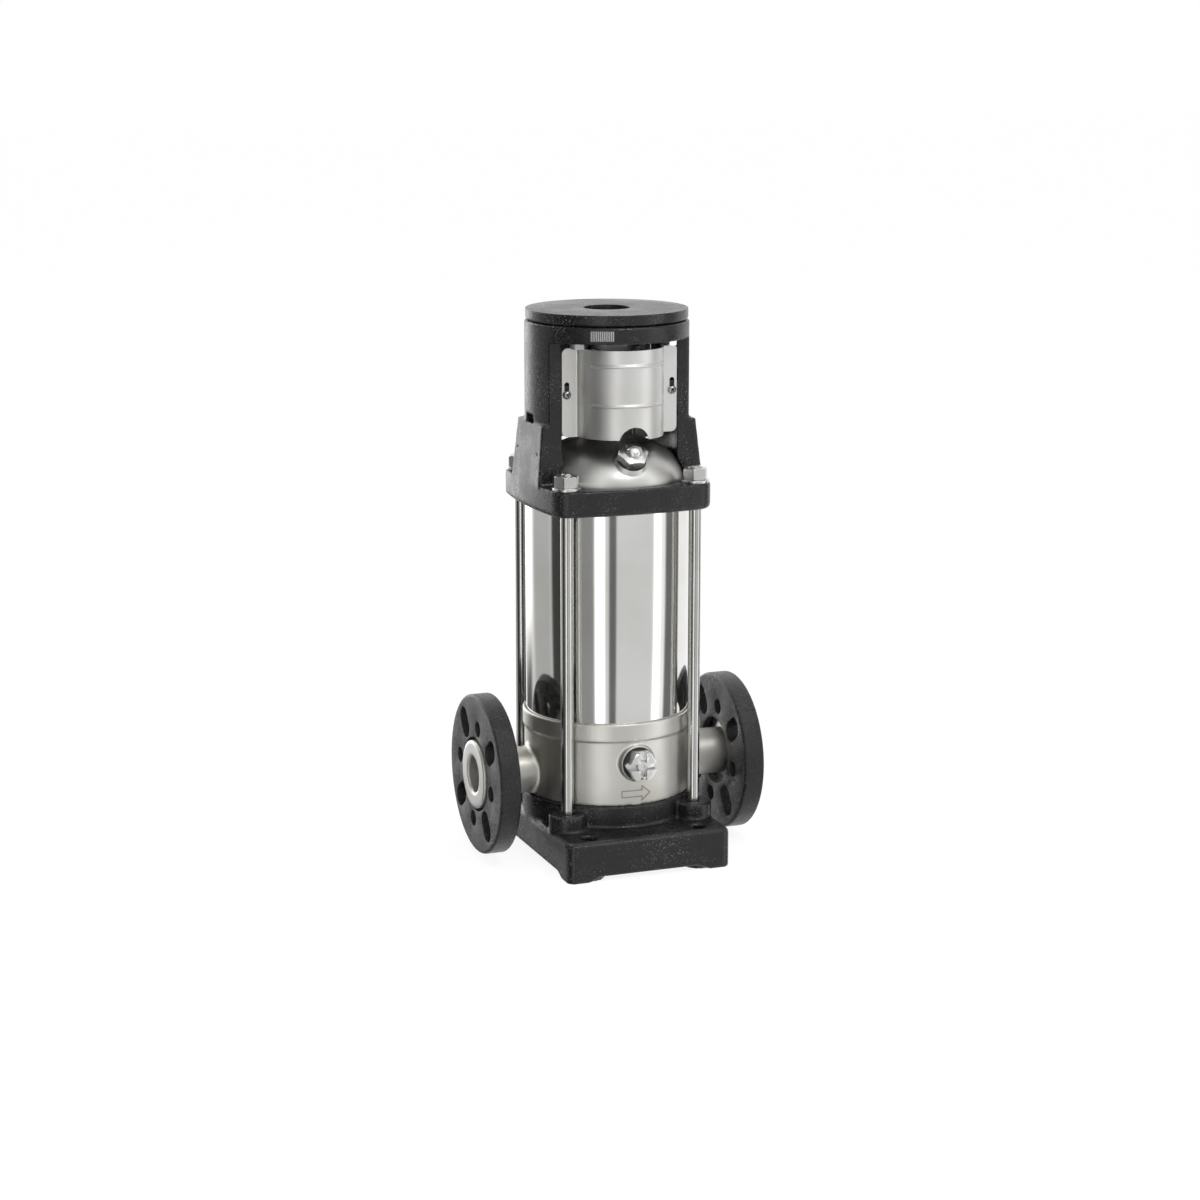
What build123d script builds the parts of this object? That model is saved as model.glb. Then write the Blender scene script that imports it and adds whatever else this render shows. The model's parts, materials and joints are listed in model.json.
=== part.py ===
from build123d import *
import os
from math import acos, cos, radians, sin, sqrt

os.makedirs("parts", exist_ok=True)

# A vertical multistage in-line pump.  Millimetres.  The origin is on the pump's axis at
# the floor, +X runs from the suction port to the discharge port, +Z is up.

# ------------------------------------------------------------------ driving dimensions
# Pipe connections
face_to_face = 250.0
port_height = 75.0
port_bore_r = 16.0
duct_bore_r = 15.0
stub_r = 20.5
stub_root_r = 4.0
collar_r = 30.0
collar_length = 10.2
flange_r = 70.0
flange_thickness = 18.7
flange_setback = 2.5
flange_lip = 6.7
flange_edge_r = 2.5
bolt_circle_r = 42.5
bolt_hole_r = 7.0
slot_r = 9.5
slot_inner = 44.5
slot_outer = 53.5
flange_turn = 9.6
flange_holes = 4
retaining_ring_width = 11.9
retaining_ring_split = 6.0

# Base plate
base_length = 150.0
base_width = 213.0
base_height = 35.0
base_deck = 12.0
base_wall = 8.0
base_corner_r = 8.0
base_edge_r = 5.0
corner_foot = 20.0
skirt_lift = 4.0
skirt_slope = 9.0
skirt_bend_r = 7.0
anchor_x = 100.0
anchor_y = 180.0
anchor_hole_r = 6.5
anchor_pad_r = 13.0
ring_ledge = 2.4
ring_floor = 8.0
ring_cavity_step = 10.0
stay_boss_r = 16.0
stay_boss_height = 14.0

# Foot casting with the two ports
foot_skin = 1.1
foot_wall = 5.0
foot_floor = 5.0
foot_height = 73.5
foot_lift = 0.5
spigot_step = 4.6
spigot_depth = 4.0
rim_step = 1.5
rim_height = 15.5
chimney_step = 4.0
chimney_wall = 4.0

# Pressure sleeve and the stage stack
annulus = 14.5
sleeve_wall = 2.0
sleeve_grip = 9.5
sleeve_gap = 0.25
gasket_height = 2.0
stages = 6
stage_pitch = 27.0
chamber_r = 55.0
chamber_wall = 2.0
inlet_height = 12.0
top_chamber_height = 31.3
guide_height = 8.0
guide_vanes = 6
neck_ring_wall = 4.0
neck_ring_height = 3.0
eye_r = 22.0
skirt_wall = 2.0
impeller_gap = 7.0
impeller_vanes = 6
vane_height = 6.0
vane_wall = 1.5
vane_bend = 0.35
guide_sweep = 40.0
impeller_sweep = -60.0
skirt_lead = 0.5
impeller_rise = 1.0
shroud = 1.2
hub_r = 10.0
bush_wall = 2.5
window_width = 24.0
window_height = 15.6
window_rise = 12.4
window_count = 6

# Shaft
shaft_r = 6.0
spacer_r = 8.5
shaft_nut_flats = 16.0
shaft_nut_height = 8.0
shaft_tail = 3.0

# Pump head and shaft seal
cover_step = 4.5
dome_rise = 38.0
dome_wall = 4.5
dome_steps = 6
cover_flange = 7.7
dome_band = 6.0
cover_opening_step = 29.0
neck_wall = 6.0
neck_rise = 41.0
seal_bore_r = 16.0
seal_wall = 4.5
seal_depth = 26.0
gland_height = 4.0
gland_spigot = 8.0
seal_face_gap = 0.3
seal_head_r = 13.0
seal_head_height = 13.7
bellows_r = 12.0
bellows_height = 14.0
bellows_waves = 3

# Head plate, staybolts and motor stool
plate_thickness = 22.6
plate_cover = 6.9
plate_corner_wall = 11.7
plate_corner_r = 16.0
plate_wall = 5.0
plate_edge_r = 4.5
plate_rim_r = 1.5
stay_clearance = 3.5
stay_r = 5.4
stay_hole_gap = 0.8
stay_thread = 20.0
stay_end = 2.0
stay_washer_r = 12.0
stay_washer_height = 2.5
stay_nut_flats = 19.0
stay_nut_height = 10.0
stool_inset = 0.5
stool_wall = 9.5
leg_half = 32.0
leg_edge_r = 2.0
top_ring = 14.5
panel_height = 51.0
panel_foot_inset = 1.0
panel_spread = 4.0
panel_top_inset = 0.5
dome_room = 2.5
drain_slot_width = 18.0
drain_slot_height = 7.0
pin_hole_r = 1.1
pin_hole_spread = 25.0
pin_hole_rise = 26.0
pin_hole_depth = 3.0

# Motor's lower flange
motor_flange_r = 70.0
motor_flange_height = 10.0
motor_flange_edge_r = 3.5
register_r = 47.5
register_depth = 4.0
motor_shaft_r = 12.0
motor_opening_r = 20.0
motor_bolt_circle_r = 57.5
motor_bolt_r = 4.0
motor_bolt_flats = 13.0
motor_bolt_head = 5.3

# Shaft coupling
coupling_r = 28.0
coupling_ear = 31.0
coupling_ear_half = 13.0
coupling_gap = 1.0
coupling_length = 74.0
coupling_rise = 2.0
coupling_lead = 1.5
motor_grip = 46.0
shaft_grip = 26.0
coupling_screw_x = 20.0
coupling_screw_r = 4.0
coupling_head_r = 6.5
coupling_head = 8.0
coupling_screw_inset = 13.0
pin_r = 2.5
pin_length = 24.0
pin_rise = 8.0

# Coupling guards
guard_wall = 1.5
guard_r = 38.0
guard_face = 31.0
guard_half = 52.4
guard_neck_gap = 0.3
guard_head_gap = 5.6
guard_corner_r = 4.0
guard_notch_r = 13.5
guard_notch_rise = 10.8
bead_r = 1.2
bead_half_angle = 60.0
lower_bead = 28.6
bead_spacing = 33.7
guard_screw_x = 48.0
guard_screw_rise = 36.2
guard_slot = 8.5
guard_slot_r = 2.25
guard_screw_r = 2.0
guard_screw_head_r = 3.8
guard_screw_head = 2.6
guard_screw_length = 7.0
lug_width = 14.0
lug_shift = 2.0
lug_height = 17.0
lug_depth = 8.0

# Priming plug with its vent screw, square to the dome
priming_y = -55.5
priming_boss_r = 13.5
priming_boss = 3.0
priming_boss_inside = 9.0
priming_thread_r = 9.0
priming_gasket_height = 1.5
priming_flats = 24.0
priming_hex = 7.5
vent_thread_r = 4.0
vent_ring_height = 1.0
vent_head_r = 7.2
vent_head = 5.5
vent_slot = 1.6

# Drain plug with its bypass spindle
drain_rise = 38.5
drain_boss_r = 15.5
drain_boss = 3.9
drain_thread_r = 10.0
drain_thread = 9.0
drain_gasket_height = 1.5
drain_flats = 24.0
drain_hex = 12.0
drain_slot = 5.5
drain_slot_depth = 4.0
spindle_r = 3.5
spindle_head_r = 4.6
spindle_head = 3.0
spindle_ring_height = 1.0
spindle_length = 11.0

# Clearances
seat_gap = 0.05
running_gap = 0.05
slip = 0.02
loose = 0.3
thread_gap = 0.1
overshoot = 1.0

# ------------------------------------------------------------------ levels and radii
skirt_r = eye_r + skirt_wall
neck_bore_r = skirt_r + neck_ring_wall
chimney_bore_r = eye_r + chimney_step
chimney_r = chimney_bore_r + chimney_wall
chamber_bore_r = chamber_r - chamber_wall
impeller_r = chamber_bore_r - impeller_gap
sleeve_r = chamber_r + annulus + sleeve_wall
foot_r = sleeve_r + foot_skin
rim_r = foot_r + rim_step
ring_r = foot_r + ring_ledge
spigot_r = foot_r - spigot_step
ring_cavity_r = spigot_r - ring_cavity_step
cavity_r = foot_r - foot_wall
dome_r = sleeve_r - cover_step
cover_opening_r = dome_r - cover_opening_step
neck_r = seal_bore_r + neck_wall
stay_spacing = (rim_r + stay_clearance + stay_r) * sqrt(2)
plate_corner = stay_spacing / 2 + plate_corner_wall
plate_bow = sleeve_r + plate_wall
stool_r = sleeve_r - stool_inset
stool_inner = stool_r - stool_wall
panel_foot = plate_bow - panel_foot_inset
panel_foot_half = leg_half + panel_spread
panel_top = stool_r - panel_top_inset
foot_seat = port_height - stub_r - foot_lift
foot_top = foot_seat + foot_height
foot_inside = foot_seat - spigot_depth + foot_floor
stack_base = foot_top - rim_height
gasket_seat = foot_top - sleeve_grip
first_stage = stack_base + inlet_height
stack_top = first_stage + stages * stage_pitch
cover_seat = stack_top + top_chamber_height
plate_ledge = cover_seat + cover_flange
plate_top = plate_ledge + plate_cover
plate_bottom = plate_top - plate_thickness
dome_base = plate_ledge + dome_band
sleeve_bottom = gasket_seat + gasket_height
sleeve_top = cover_seat - gasket_height
bush_bore_r = spacer_r + running_gap
bush_r = bush_bore_r + bush_wall
guide_base = stage_pitch - guide_height - shroud
impeller_base = neck_ring_height + impeller_rise
impeller_hub_base = impeller_base + shroud
neck_top = dome_base + neck_rise
gland_bottom = neck_top - gland_spigot
seal_head_top = gland_bottom - seal_face_gap
seal_head_base = seal_head_top - seal_head_height
shoulder_top = seal_head_base - bellows_height
hub_top = guide_base - skirt_lead
spacer_length = stage_pitch - hub_top + impeller_hub_base
shoulder_base = stack_top + impeller_hub_base
coupling_bottom = neck_top + gland_height + coupling_rise
coupling_top = coupling_bottom + coupling_length
top_ring_base = coupling_top + coupling_lead
stool_top = top_ring_base + top_ring
shaft_top = coupling_bottom + shaft_grip
motor_shaft_seat = coupling_top - motor_grip
shaft_washer = shroud
shaft_bottom = first_stage + impeller_hub_base - shaft_washer - shaft_nut_height - shaft_tail
guard_bottom = neck_top + guard_neck_gap
guard_height = top_ring_base - guard_head_gap - guard_bottom
guard_screw_z = guard_bottom + guard_screw_rise
guard_inside = guard_face - guard_wall
stay_seat = base_height + stay_boss_height
drain_z = foot_seat + drain_rise
port_face = face_to_face / 2
flange_front = port_face - flange_setback
flange_back = flange_front - flange_thickness
flange_shoulder = flange_back + flange_lip
retaining_bore_r = stub_r + slip
retaining_r = retaining_bore_r + retaining_ring_width
collar_back = port_face - collar_length


def hexagon_radius(flats):
    """Corner radius of a hexagon with this width across its flats."""
    return flats / sqrt(3)


def dome_height(radius, reach, rise):
    """Height of a half ellipse above its base at one radius."""
    return rise * sqrt(1 - (radius / reach) ** 2)


# ------------------------------------------------------------------ base plate
with BuildPart() as base_plate:
    with BuildSketch():
        RectangleRounded(base_length, base_width, base_corner_r)
    extrude(amount=base_height)
    fillet(base_plate.faces().sort_by(Axis.Z)[-1].edges(), base_edge_r)
    with BuildSketch():
        RectangleRounded(base_length - 2 * base_wall, base_width - 2 * base_wall, base_corner_r)
    extrude(amount=base_height - base_deck, mode=Mode.SUBTRACT)
    # the skirts stand clear of the floor between the corner feet
    for plane, span in ((Plane.XZ, base_length), (Plane.YZ, base_width)):
        opening_foot = span / 2 - corner_foot
        opening_top = opening_foot - skirt_slope
        with BuildSketch(plane) as skirt_opening:
            with BuildLine():
                Polyline(
                    (-opening_foot, 0),
                    (opening_foot, 0),
                    (opening_top, skirt_lift),
                    (-opening_top, skirt_lift),
                    close=True,
                )
            make_face()
            fillet(skirt_opening.vertices().group_by(Axis.Y)[-1], skirt_bend_r)
        extrude(amount=base_width, both=True, mode=Mode.SUBTRACT)
    # ring that carries the foot casting, with a boss for each staybolt
    with BuildSketch(Plane.XY.offset(base_height - base_edge_r)):
        Circle(ring_r)
    extrude(amount=foot_seat - base_height + base_edge_r)
    with BuildSketch(Plane.XY.offset(base_height - base_edge_r)):
        with GridLocations(stay_spacing, stay_spacing, 2, 2):
            Circle(stay_boss_r)
    extrude(amount=stay_boss_height + base_edge_r)
    with BuildSketch():
        RectangleRounded(base_length, base_width, base_corner_r)
    extrude(amount=foot_seat, mode=Mode.INTERSECT)
    with BuildSketch(Plane.XY.offset(foot_seat - spigot_depth)):
        Circle(spigot_r + loose)
    extrude(amount=spigot_depth, mode=Mode.SUBTRACT)
    with BuildSketch():
        Circle(ring_cavity_r)
    extrude(amount=foot_seat - spigot_depth - ring_floor, mode=Mode.SUBTRACT)
    with BuildSketch(Plane.XY.offset(stay_seat - stay_thread)):
        with GridLocations(stay_spacing, stay_spacing, 2, 2):
            Circle(stay_r + running_gap)
    extrude(amount=stay_thread, mode=Mode.SUBTRACT)
    # anchor bolt pads reach the floor
    with BuildSketch():
        with GridLocations(anchor_x, anchor_y, 2, 2):
            Circle(anchor_pad_r)
    extrude(amount=base_height - base_deck)
    with BuildSketch():
        with GridLocations(anchor_x, anchor_y, 2, 2):
            Circle(anchor_hole_r)
    extrude(amount=base_height, mode=Mode.SUBTRACT)
base_plate.part.label = "base_plate"
export_step(base_plate.part, "parts/base_plate.step")

# ------------------------------------------------------------------ foot casting
suction_side = Plane(origin=(0, 0, port_height), x_dir=(0, 1, 0), z_dir=(-1, 0, 0))
discharge_side = Plane(origin=(0, 0, port_height), x_dir=(0, 1, 0), z_dir=(1, 0, 0))
drain_plane = Plane(origin=(0, -foot_r, drain_z), x_dir=(1, 0, 0), z_dir=(0, -1, 0))

with BuildPart() as foot_casting:
    with BuildSketch(Plane.XY.offset(foot_seat - 2 * stub_root_r)):
        Circle(foot_r)
    extrude(amount=stack_base - foot_seat + 2 * stub_root_r)
    for side in (suction_side, discharge_side):
        with BuildSketch(side.offset(cavity_r / 2)):
            Circle(stub_r)
        extrude(amount=port_face - cavity_r / 2)
    roots = foot_casting.edges().filter_by(GeomType.CIRCLE, reverse=True)
    fillet(roots.filter_by(GeomType.LINE, reverse=True), stub_root_r)
    with BuildSketch(Plane.XY.offset(foot_seat - 3 * stub_root_r)):
        Circle(foot_r + 4 * stub_root_r)
    extrude(amount=3 * stub_root_r, mode=Mode.SUBTRACT)
    with BuildSketch(Plane.XY.offset(foot_seat - spigot_depth)):
        Circle(spigot_r)
    extrude(amount=spigot_depth)
    with BuildSketch(Plane.XY.offset(stack_base)):
        Circle(rim_r)
    extrude(amount=rim_height)
    fillet(foot_casting.edges().filter_by(GeomType.CIRCLE).group_by(Axis.Z)[-1], rim_step)
    with BuildSketch(drain_plane.offset(-foot_wall)):
        Circle(drain_boss_r)
    extrude(amount=foot_wall + drain_boss)
    for side in (suction_side, discharge_side):
        with BuildSketch(side.offset(collar_back)):
            Circle(collar_r)
        extrude(amount=collar_length)
    # inside: the suction duct rises into a chimney, the space round it is the discharge
    with BuildSketch(Plane.XY.offset(foot_inside)):
        Circle(cavity_r)
    extrude(amount=foot_top - foot_inside, mode=Mode.SUBTRACT)
    with BuildSketch(suction_side):
        Circle(stub_r)
    extrude(amount=foot_r - foot_wall / 2)
    with BuildSketch(Plane.XY.offset(foot_inside - foot_floor / 2)):
        Circle(chimney_r)
    extrude(amount=stack_base - foot_inside + foot_floor / 2)
    with BuildSketch(Plane.XY.offset(foot_inside)):
        Circle(chimney_bore_r)
    extrude(amount=stack_base - foot_inside, mode=Mode.SUBTRACT)
    with BuildSketch(suction_side):
        Circle(duct_bore_r)
    extrude(amount=port_face, mode=Mode.SUBTRACT)
    for side in (suction_side, discharge_side):
        with BuildSketch(side.offset(cavity_r)):
            Circle(port_bore_r)
        extrude(amount=port_face - cavity_r, mode=Mode.SUBTRACT)
    with BuildSketch(discharge_side.offset(chimney_r + chimney_wall)):
        Circle(port_bore_r)
    extrude(amount=port_face - chimney_r, mode=Mode.SUBTRACT)
    with BuildSketch(drain_plane.offset(-2 * foot_wall)):
        Circle(drain_thread_r + thread_gap)
    extrude(amount=2 * foot_wall + drain_boss, mode=Mode.SUBTRACT)
    with BuildSketch(Plane.XY.offset(gasket_seat)):
        Circle(sleeve_r + sleeve_gap)
    extrude(amount=sleeve_grip, mode=Mode.SUBTRACT)
foot_casting.part.label = "foot_casting"
export_step(foot_casting.part, "parts/foot_casting.step")

# ------------------------------------------------------------------ loose flanges
# Each turns freely on the split ring that is trapped behind the port's collar.
flange_sides = {"suction": (suction_side, -flange_turn), "discharge": (discharge_side, flange_turn)}
for name, (side, turn) in flange_sides.items():
    with BuildPart() as loose_flange:
        with BuildSketch(side.offset(flange_back)):
            Circle(flange_r)
        extrude(amount=flange_thickness)
        fillet(loose_flange.edges().filter_by(GeomType.CIRCLE), flange_edge_r)
        with BuildSketch(side.offset(flange_back)):
            Circle(collar_r + loose)
            with PolarLocations(bolt_circle_r, flange_holes, 90 + turn):
                Circle(bolt_hole_r)
            with PolarLocations((slot_inner + slot_outer) / 2, flange_holes, 90 + turn + 180 / flange_holes):
                SlotCenterToCenter(slot_outer - slot_inner, 2 * slot_r)
        extrude(amount=flange_thickness, mode=Mode.SUBTRACT)
        with BuildSketch(side.offset(flange_shoulder)):
            Circle(retaining_r + loose)
        extrude(amount=flange_front - flange_shoulder, mode=Mode.SUBTRACT)
    loose_flange.part.label = f"{name}_flange"
    export_step(loose_flange.part, f"parts/{name}_flange.step")

    with BuildPart() as retaining_ring:
        with BuildSketch(side.offset(flange_shoulder + loose)):
            Circle(retaining_r)
            Circle(retaining_bore_r, mode=Mode.SUBTRACT)
            with Locations((retaining_r, 0)):
                Rectangle(2 * retaining_ring_width + overshoot, retaining_ring_split, mode=Mode.SUBTRACT)
        extrude(amount=collar_back - flange_shoulder - loose)
    retaining_ring.part.label = f"{name}_retaining_ring"
    export_step(retaining_ring.part, f"parts/{name}_retaining_ring.step")

# ------------------------------------------------------------------ pressure sleeve
with BuildPart() as outer_sleeve:
    with BuildSketch(Plane.XY.offset(sleeve_bottom)):
        Circle(sleeve_r)
        Circle(sleeve_r - sleeve_wall, mode=Mode.SUBTRACT)
    extrude(amount=sleeve_top - sleeve_bottom)
outer_sleeve.part.label = "outer_sleeve"
export_step(outer_sleeve.part, "parts/outer_sleeve.step")

for name, level in {"lower": gasket_seat, "upper": sleeve_top}.items():
    with BuildPart() as sleeve_gasket:
        with BuildSketch(Plane.XY.offset(level)):
            Circle(sleeve_r)
            Circle(sleeve_r - 2 * sleeve_wall, mode=Mode.SUBTRACT)
        extrude(amount=gasket_height)
    sleeve_gasket.part.label = f"sleeve_gasket_{name}"
    export_step(sleeve_gasket.part, f"parts/sleeve_gasket_{name}.step")

# ------------------------------------------------------------------ stage stack
with BuildPart() as inlet_part:
    with BuildSketch(Plane.XZ):
        with BuildLine():
            Polyline(
                (chimney_bore_r, stack_base),
                (chimney_r, stack_base),
                (chimney_r, stack_base + inlet_height / 2),
                (chamber_r, first_stage - 2 * chamber_wall),
                (chamber_r, first_stage),
                (chimney_bore_r, first_stage),
                close=True,
            )
        make_face()
    revolve(axis=Axis.Z)
inlet_part.part.label = "inlet_part"
export_step(inlet_part.part, "parts/inlet_part.step")


def swept_vane(inner, outer, sweep, wall):
    """A curved vane between two radii that lags by the sweep angle at its outer end."""
    middle = (inner + outer) / 2
    lag = radians(sweep)
    bend = lag * vane_bend
    with BuildSketch() as vane:
        with BuildLine():
            ThreePointArc(
                (inner, 0),
                (middle * cos(bend), middle * sin(bend)),
                (outer * cos(lag), outer * sin(lag)),
            )
        trace(line_width=wall)
    return vane.sketch


guide_vane = swept_vane(bush_r + chamber_wall / 2, chamber_r - chamber_wall / 2, guide_sweep, vane_wall)
impeller_vane = swept_vane(hub_r - vane_wall / 2, impeller_r - vane_wall, impeller_sweep, vane_wall)

for stage in range(stages):
    level = first_stage + stage * stage_pitch
    with BuildPart() as chamber:
        with BuildSketch(Plane.XY.offset(level)):
            Circle(chamber_r)
            Circle(chamber_bore_r, mode=Mode.SUBTRACT)
        extrude(amount=stage_pitch)
        with BuildSketch(Plane.XY.offset(level)):
            Circle(chamber_r)
            Circle(neck_bore_r, mode=Mode.SUBTRACT)
        extrude(amount=chamber_wall)
        # guide vanes turn the flow back to the eye of the next impeller
        with BuildSketch(Plane.XY.offset(level + guide_base)):
            Circle(impeller_r)
            Circle(bush_r + slip, mode=Mode.SUBTRACT)
        extrude(amount=shroud)
        with BuildSketch(Plane.XY.offset(level + guide_base)):
            Circle(bush_r + chamber_wall)
            Circle(bush_r + slip, mode=Mode.SUBTRACT)
        extrude(amount=guide_height)
        with BuildSketch(Plane.XY.offset(level + guide_base + shroud)):
            with PolarLocations(0, guide_vanes):
                add(guide_vane)
        extrude(amount=guide_height)
    chamber.part.label = f"chamber_{stage + 1}"
    export_step(chamber.part, f"parts/chamber_{stage + 1}.step")

    with BuildPart() as impeller:
        base = level + impeller_base
        with BuildSketch(Plane.XY.offset(level + skirt_lead)):
            Circle(skirt_r)
            Circle(eye_r, mode=Mode.SUBTRACT)
        extrude(amount=impeller_base - skirt_lead)
        with BuildSketch(Plane.XY.offset(base)):
            Circle(impeller_r)
            Circle(eye_r, mode=Mode.SUBTRACT)
        extrude(amount=shroud)
        with BuildSketch(Plane.XY.offset(base + shroud)):
            with PolarLocations(0, impeller_vanes):
                add(impeller_vane)
        extrude(amount=vane_height)
        with BuildSketch(Plane.XY.offset(base + shroud + vane_height)):
            Circle(impeller_r)
        extrude(amount=shroud)
        with BuildSketch(Plane.XY.offset(base + shroud)):
            Circle(hub_r)
        extrude(amount=hub_top - impeller_hub_base)
        with BuildSketch(Plane.XY.offset(level)):
            Circle(shaft_r + slip)
        extrude(amount=stage_pitch, mode=Mode.SUBTRACT)
    impeller.part.label = f"impeller_{stage + 1}"
    export_step(impeller.part, f"parts/impeller_{stage + 1}.step")

stage_levels = [first_stage + stage * stage_pitch for stage in range(stages)]

with BuildPart() as neck_rings:
    for level in stage_levels:
        with BuildSketch(Plane.XY.offset(level)):
            Circle(neck_bore_r - slip)
            Circle(skirt_r + loose, mode=Mode.SUBTRACT)
        extrude(amount=neck_ring_height)
neck_rings.part.label = "neck_rings"
export_step(neck_rings.part, "parts/neck_rings.step")

with BuildPart() as bearing_bushes:
    for level in stage_levels:
        with BuildSketch(Plane.XY.offset(level + guide_base)):
            Circle(bush_r)
            Circle(bush_bore_r, mode=Mode.SUBTRACT)
        extrude(amount=guide_height)
bearing_bushes.part.label = "bearing_bushes"
export_step(bearing_bushes.part, "parts/bearing_bushes.step")

with BuildPart() as shaft_spacers:
    for level in stage_levels:
        with BuildSketch(Plane.XY.offset(level + hub_top)):
            Circle(spacer_r)
            Circle(shaft_r + slip, mode=Mode.SUBTRACT)
        extrude(amount=spacer_length)
shaft_spacers.part.label = "shaft_spacers"
export_step(shaft_spacers.part, "parts/shaft_spacers.step")

with BuildPart() as top_chamber:
    with BuildSketch(Plane.XY.offset(stack_top)):
        Circle(chamber_r)
        Circle(bush_r, mode=Mode.SUBTRACT)
    extrude(amount=chamber_wall)
    with BuildSketch(Plane.XY.offset(stack_top)):
        Circle(cover_opening_r + 3 * chamber_wall)
        Circle(cover_opening_r + chamber_wall, mode=Mode.SUBTRACT)
    extrude(amount=top_chamber_height)
    # outlet windows round the collar
    for turn in range(window_count // 2):
        outlet = Plane.XZ.rotated((0, 0, turn * 360 / window_count))
        with BuildSketch(outlet):
            with Locations((0, stack_top + window_rise)):
                Rectangle(window_width, window_height)
        extrude(amount=chamber_r, both=True, mode=Mode.SUBTRACT)
top_chamber.part.label = "top_chamber"
export_step(top_chamber.part, "parts/top_chamber.step")

# ------------------------------------------------------------------ pump shaft
with BuildPart() as pump_shaft:
    with BuildSketch(Plane.XY.offset(shaft_bottom)):
        Circle(shaft_r)
    extrude(amount=shaft_top - shaft_bottom)
    chamfer(pump_shaft.edges().group_by(Axis.Z)[0], shaft_r / 6)
    chamfer(pump_shaft.edges().group_by(Axis.Z)[-1], shaft_r / 6)
    with BuildSketch(Plane.XY.offset(shoulder_base)):
        Circle(spacer_r)
    extrude(amount=shoulder_top - shoulder_base)
    with BuildSketch(Plane.YZ.offset(-spacer_r)):
        with Locations((0, coupling_bottom + pin_rise)):
            Circle(pin_r + slip)
    extrude(amount=2 * spacer_r, mode=Mode.SUBTRACT)
pump_shaft.part.label = "pump_shaft"
export_step(pump_shaft.part, "parts/pump_shaft.step")

with BuildPart() as shaft_washers:
    with BuildSketch(Plane.XY.offset(first_stage + impeller_hub_base - shaft_washer)):
        Circle(hub_r)
        Circle(shaft_r + slip, mode=Mode.SUBTRACT)
    extrude(amount=shaft_washer)
shaft_washers.part.label = "shaft_washer"
export_step(shaft_washers.part, "parts/shaft_washer.step")

with BuildPart() as shaft_nut:
    with BuildSketch(Plane.XY.offset(shaft_bottom + shaft_tail)):
        RegularPolygon(hexagon_radius(shaft_nut_flats), 6)
        Circle(shaft_r + slip, mode=Mode.SUBTRACT)
    extrude(amount=shaft_nut_height)
shaft_nut.part.label = "shaft_nut"
export_step(shaft_nut.part, "parts/shaft_nut.step")

# ------------------------------------------------------------------ pump head cover
dome_inner_r = dome_r - dome_wall
dome_inner_rise = dome_rise - dome_wall
seal_tube_r = seal_bore_r + seal_wall
priming_z = dome_base + dome_height(-priming_y, dome_r, dome_rise)
priming_axis = Vector(0, priming_y / dome_r**2, (priming_z - dome_base) / dome_rise**2).normalized()
priming_plane = Plane(origin=(0, priming_y, priming_z), x_dir=(1, 0, 0), z_dir=priming_axis)


def dome_points(reach, rise, last):
    """Points along a half ellipse of revolution, from its base up to one radius."""
    stop = acos(last / reach)
    angles = [stop * step / dome_steps for step in range(dome_steps + 1)]
    return [(reach * cos(angle), dome_base + rise * sin(angle)) for angle in angles]


with BuildPart() as head_cover:
    with BuildSketch(Plane.XZ):
        with BuildLine():
            neck_foot = dome_base + dome_height(neck_r, dome_r, dome_rise)
            tube_foot = dome_base + dome_height(seal_tube_r, dome_inner_r, dome_inner_rise)
            Polyline(
                (dome_r, dome_base),
                (dome_r, plate_ledge),
                (sleeve_r, plate_ledge),
                (sleeve_r, cover_seat),
                (cover_opening_r, cover_seat),
                (cover_opening_r, cover_seat + dome_wall),
                (dome_inner_r, cover_seat + dome_wall),
                (dome_inner_r, dome_base),
            )
            Spline(*dome_points(dome_inner_r, dome_inner_rise, seal_tube_r))
            Polyline(
                (seal_tube_r, tube_foot),
                (seal_tube_r, neck_top - seal_depth),
                (seal_bore_r, neck_top - seal_depth),
                (seal_bore_r, neck_top),
                (neck_r, neck_top),
                (neck_r, neck_foot),
            )
            Spline(*reversed(dome_points(dome_r, dome_rise, neck_r)))
        make_face()
    revolve(axis=Axis.Z)
    # boss for the priming plug, square to the dome's surface
    with BuildSketch(priming_plane.offset(-priming_boss_inside)):
        Circle(priming_boss_r)
    extrude(amount=priming_boss_inside + priming_boss)
    with BuildSketch(priming_plane.offset(-priming_boss_inside - dome_wall)):
        Circle(priming_thread_r + thread_gap)
    extrude(amount=priming_boss_inside + priming_boss + dome_wall, mode=Mode.SUBTRACT)
head_cover.part.label = "head_cover"
export_step(head_cover.part, "parts/head_cover.step")

# ------------------------------------------------------------------ shaft seal
with BuildPart() as seal_gland:
    with BuildSketch(Plane.XY.offset(neck_top)):
        Circle(neck_r)
        Circle(shaft_r + loose, mode=Mode.SUBTRACT)
    extrude(amount=gland_height)
    chamfer(seal_gland.edges().group_by(Axis.Z)[-1].sort_by(SortBy.LENGTH)[-1], gland_height / 4)
    with BuildSketch(Plane.XY.offset(gland_bottom)):
        Circle(seal_bore_r - slip)
        Circle(shaft_r + loose, mode=Mode.SUBTRACT)
    extrude(amount=gland_spigot)
seal_gland.part.label = "seal_gland"
export_step(seal_gland.part, "parts/seal_gland.step")

with BuildPart() as seal_rotating_head:
    with BuildSketch(Plane.XY.offset(seal_head_base)):
        Circle(seal_head_r)
        Circle(shaft_r + slip, mode=Mode.SUBTRACT)
    extrude(amount=seal_head_height)
    chamfer(seal_rotating_head.edges().group_by(Axis.Z)[-1].sort_by(SortBy.LENGTH)[-1], shroud)
seal_rotating_head.part.label = "seal_rotating_head"
export_step(seal_rotating_head.part, "parts/seal_rotating_head.step")

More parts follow.
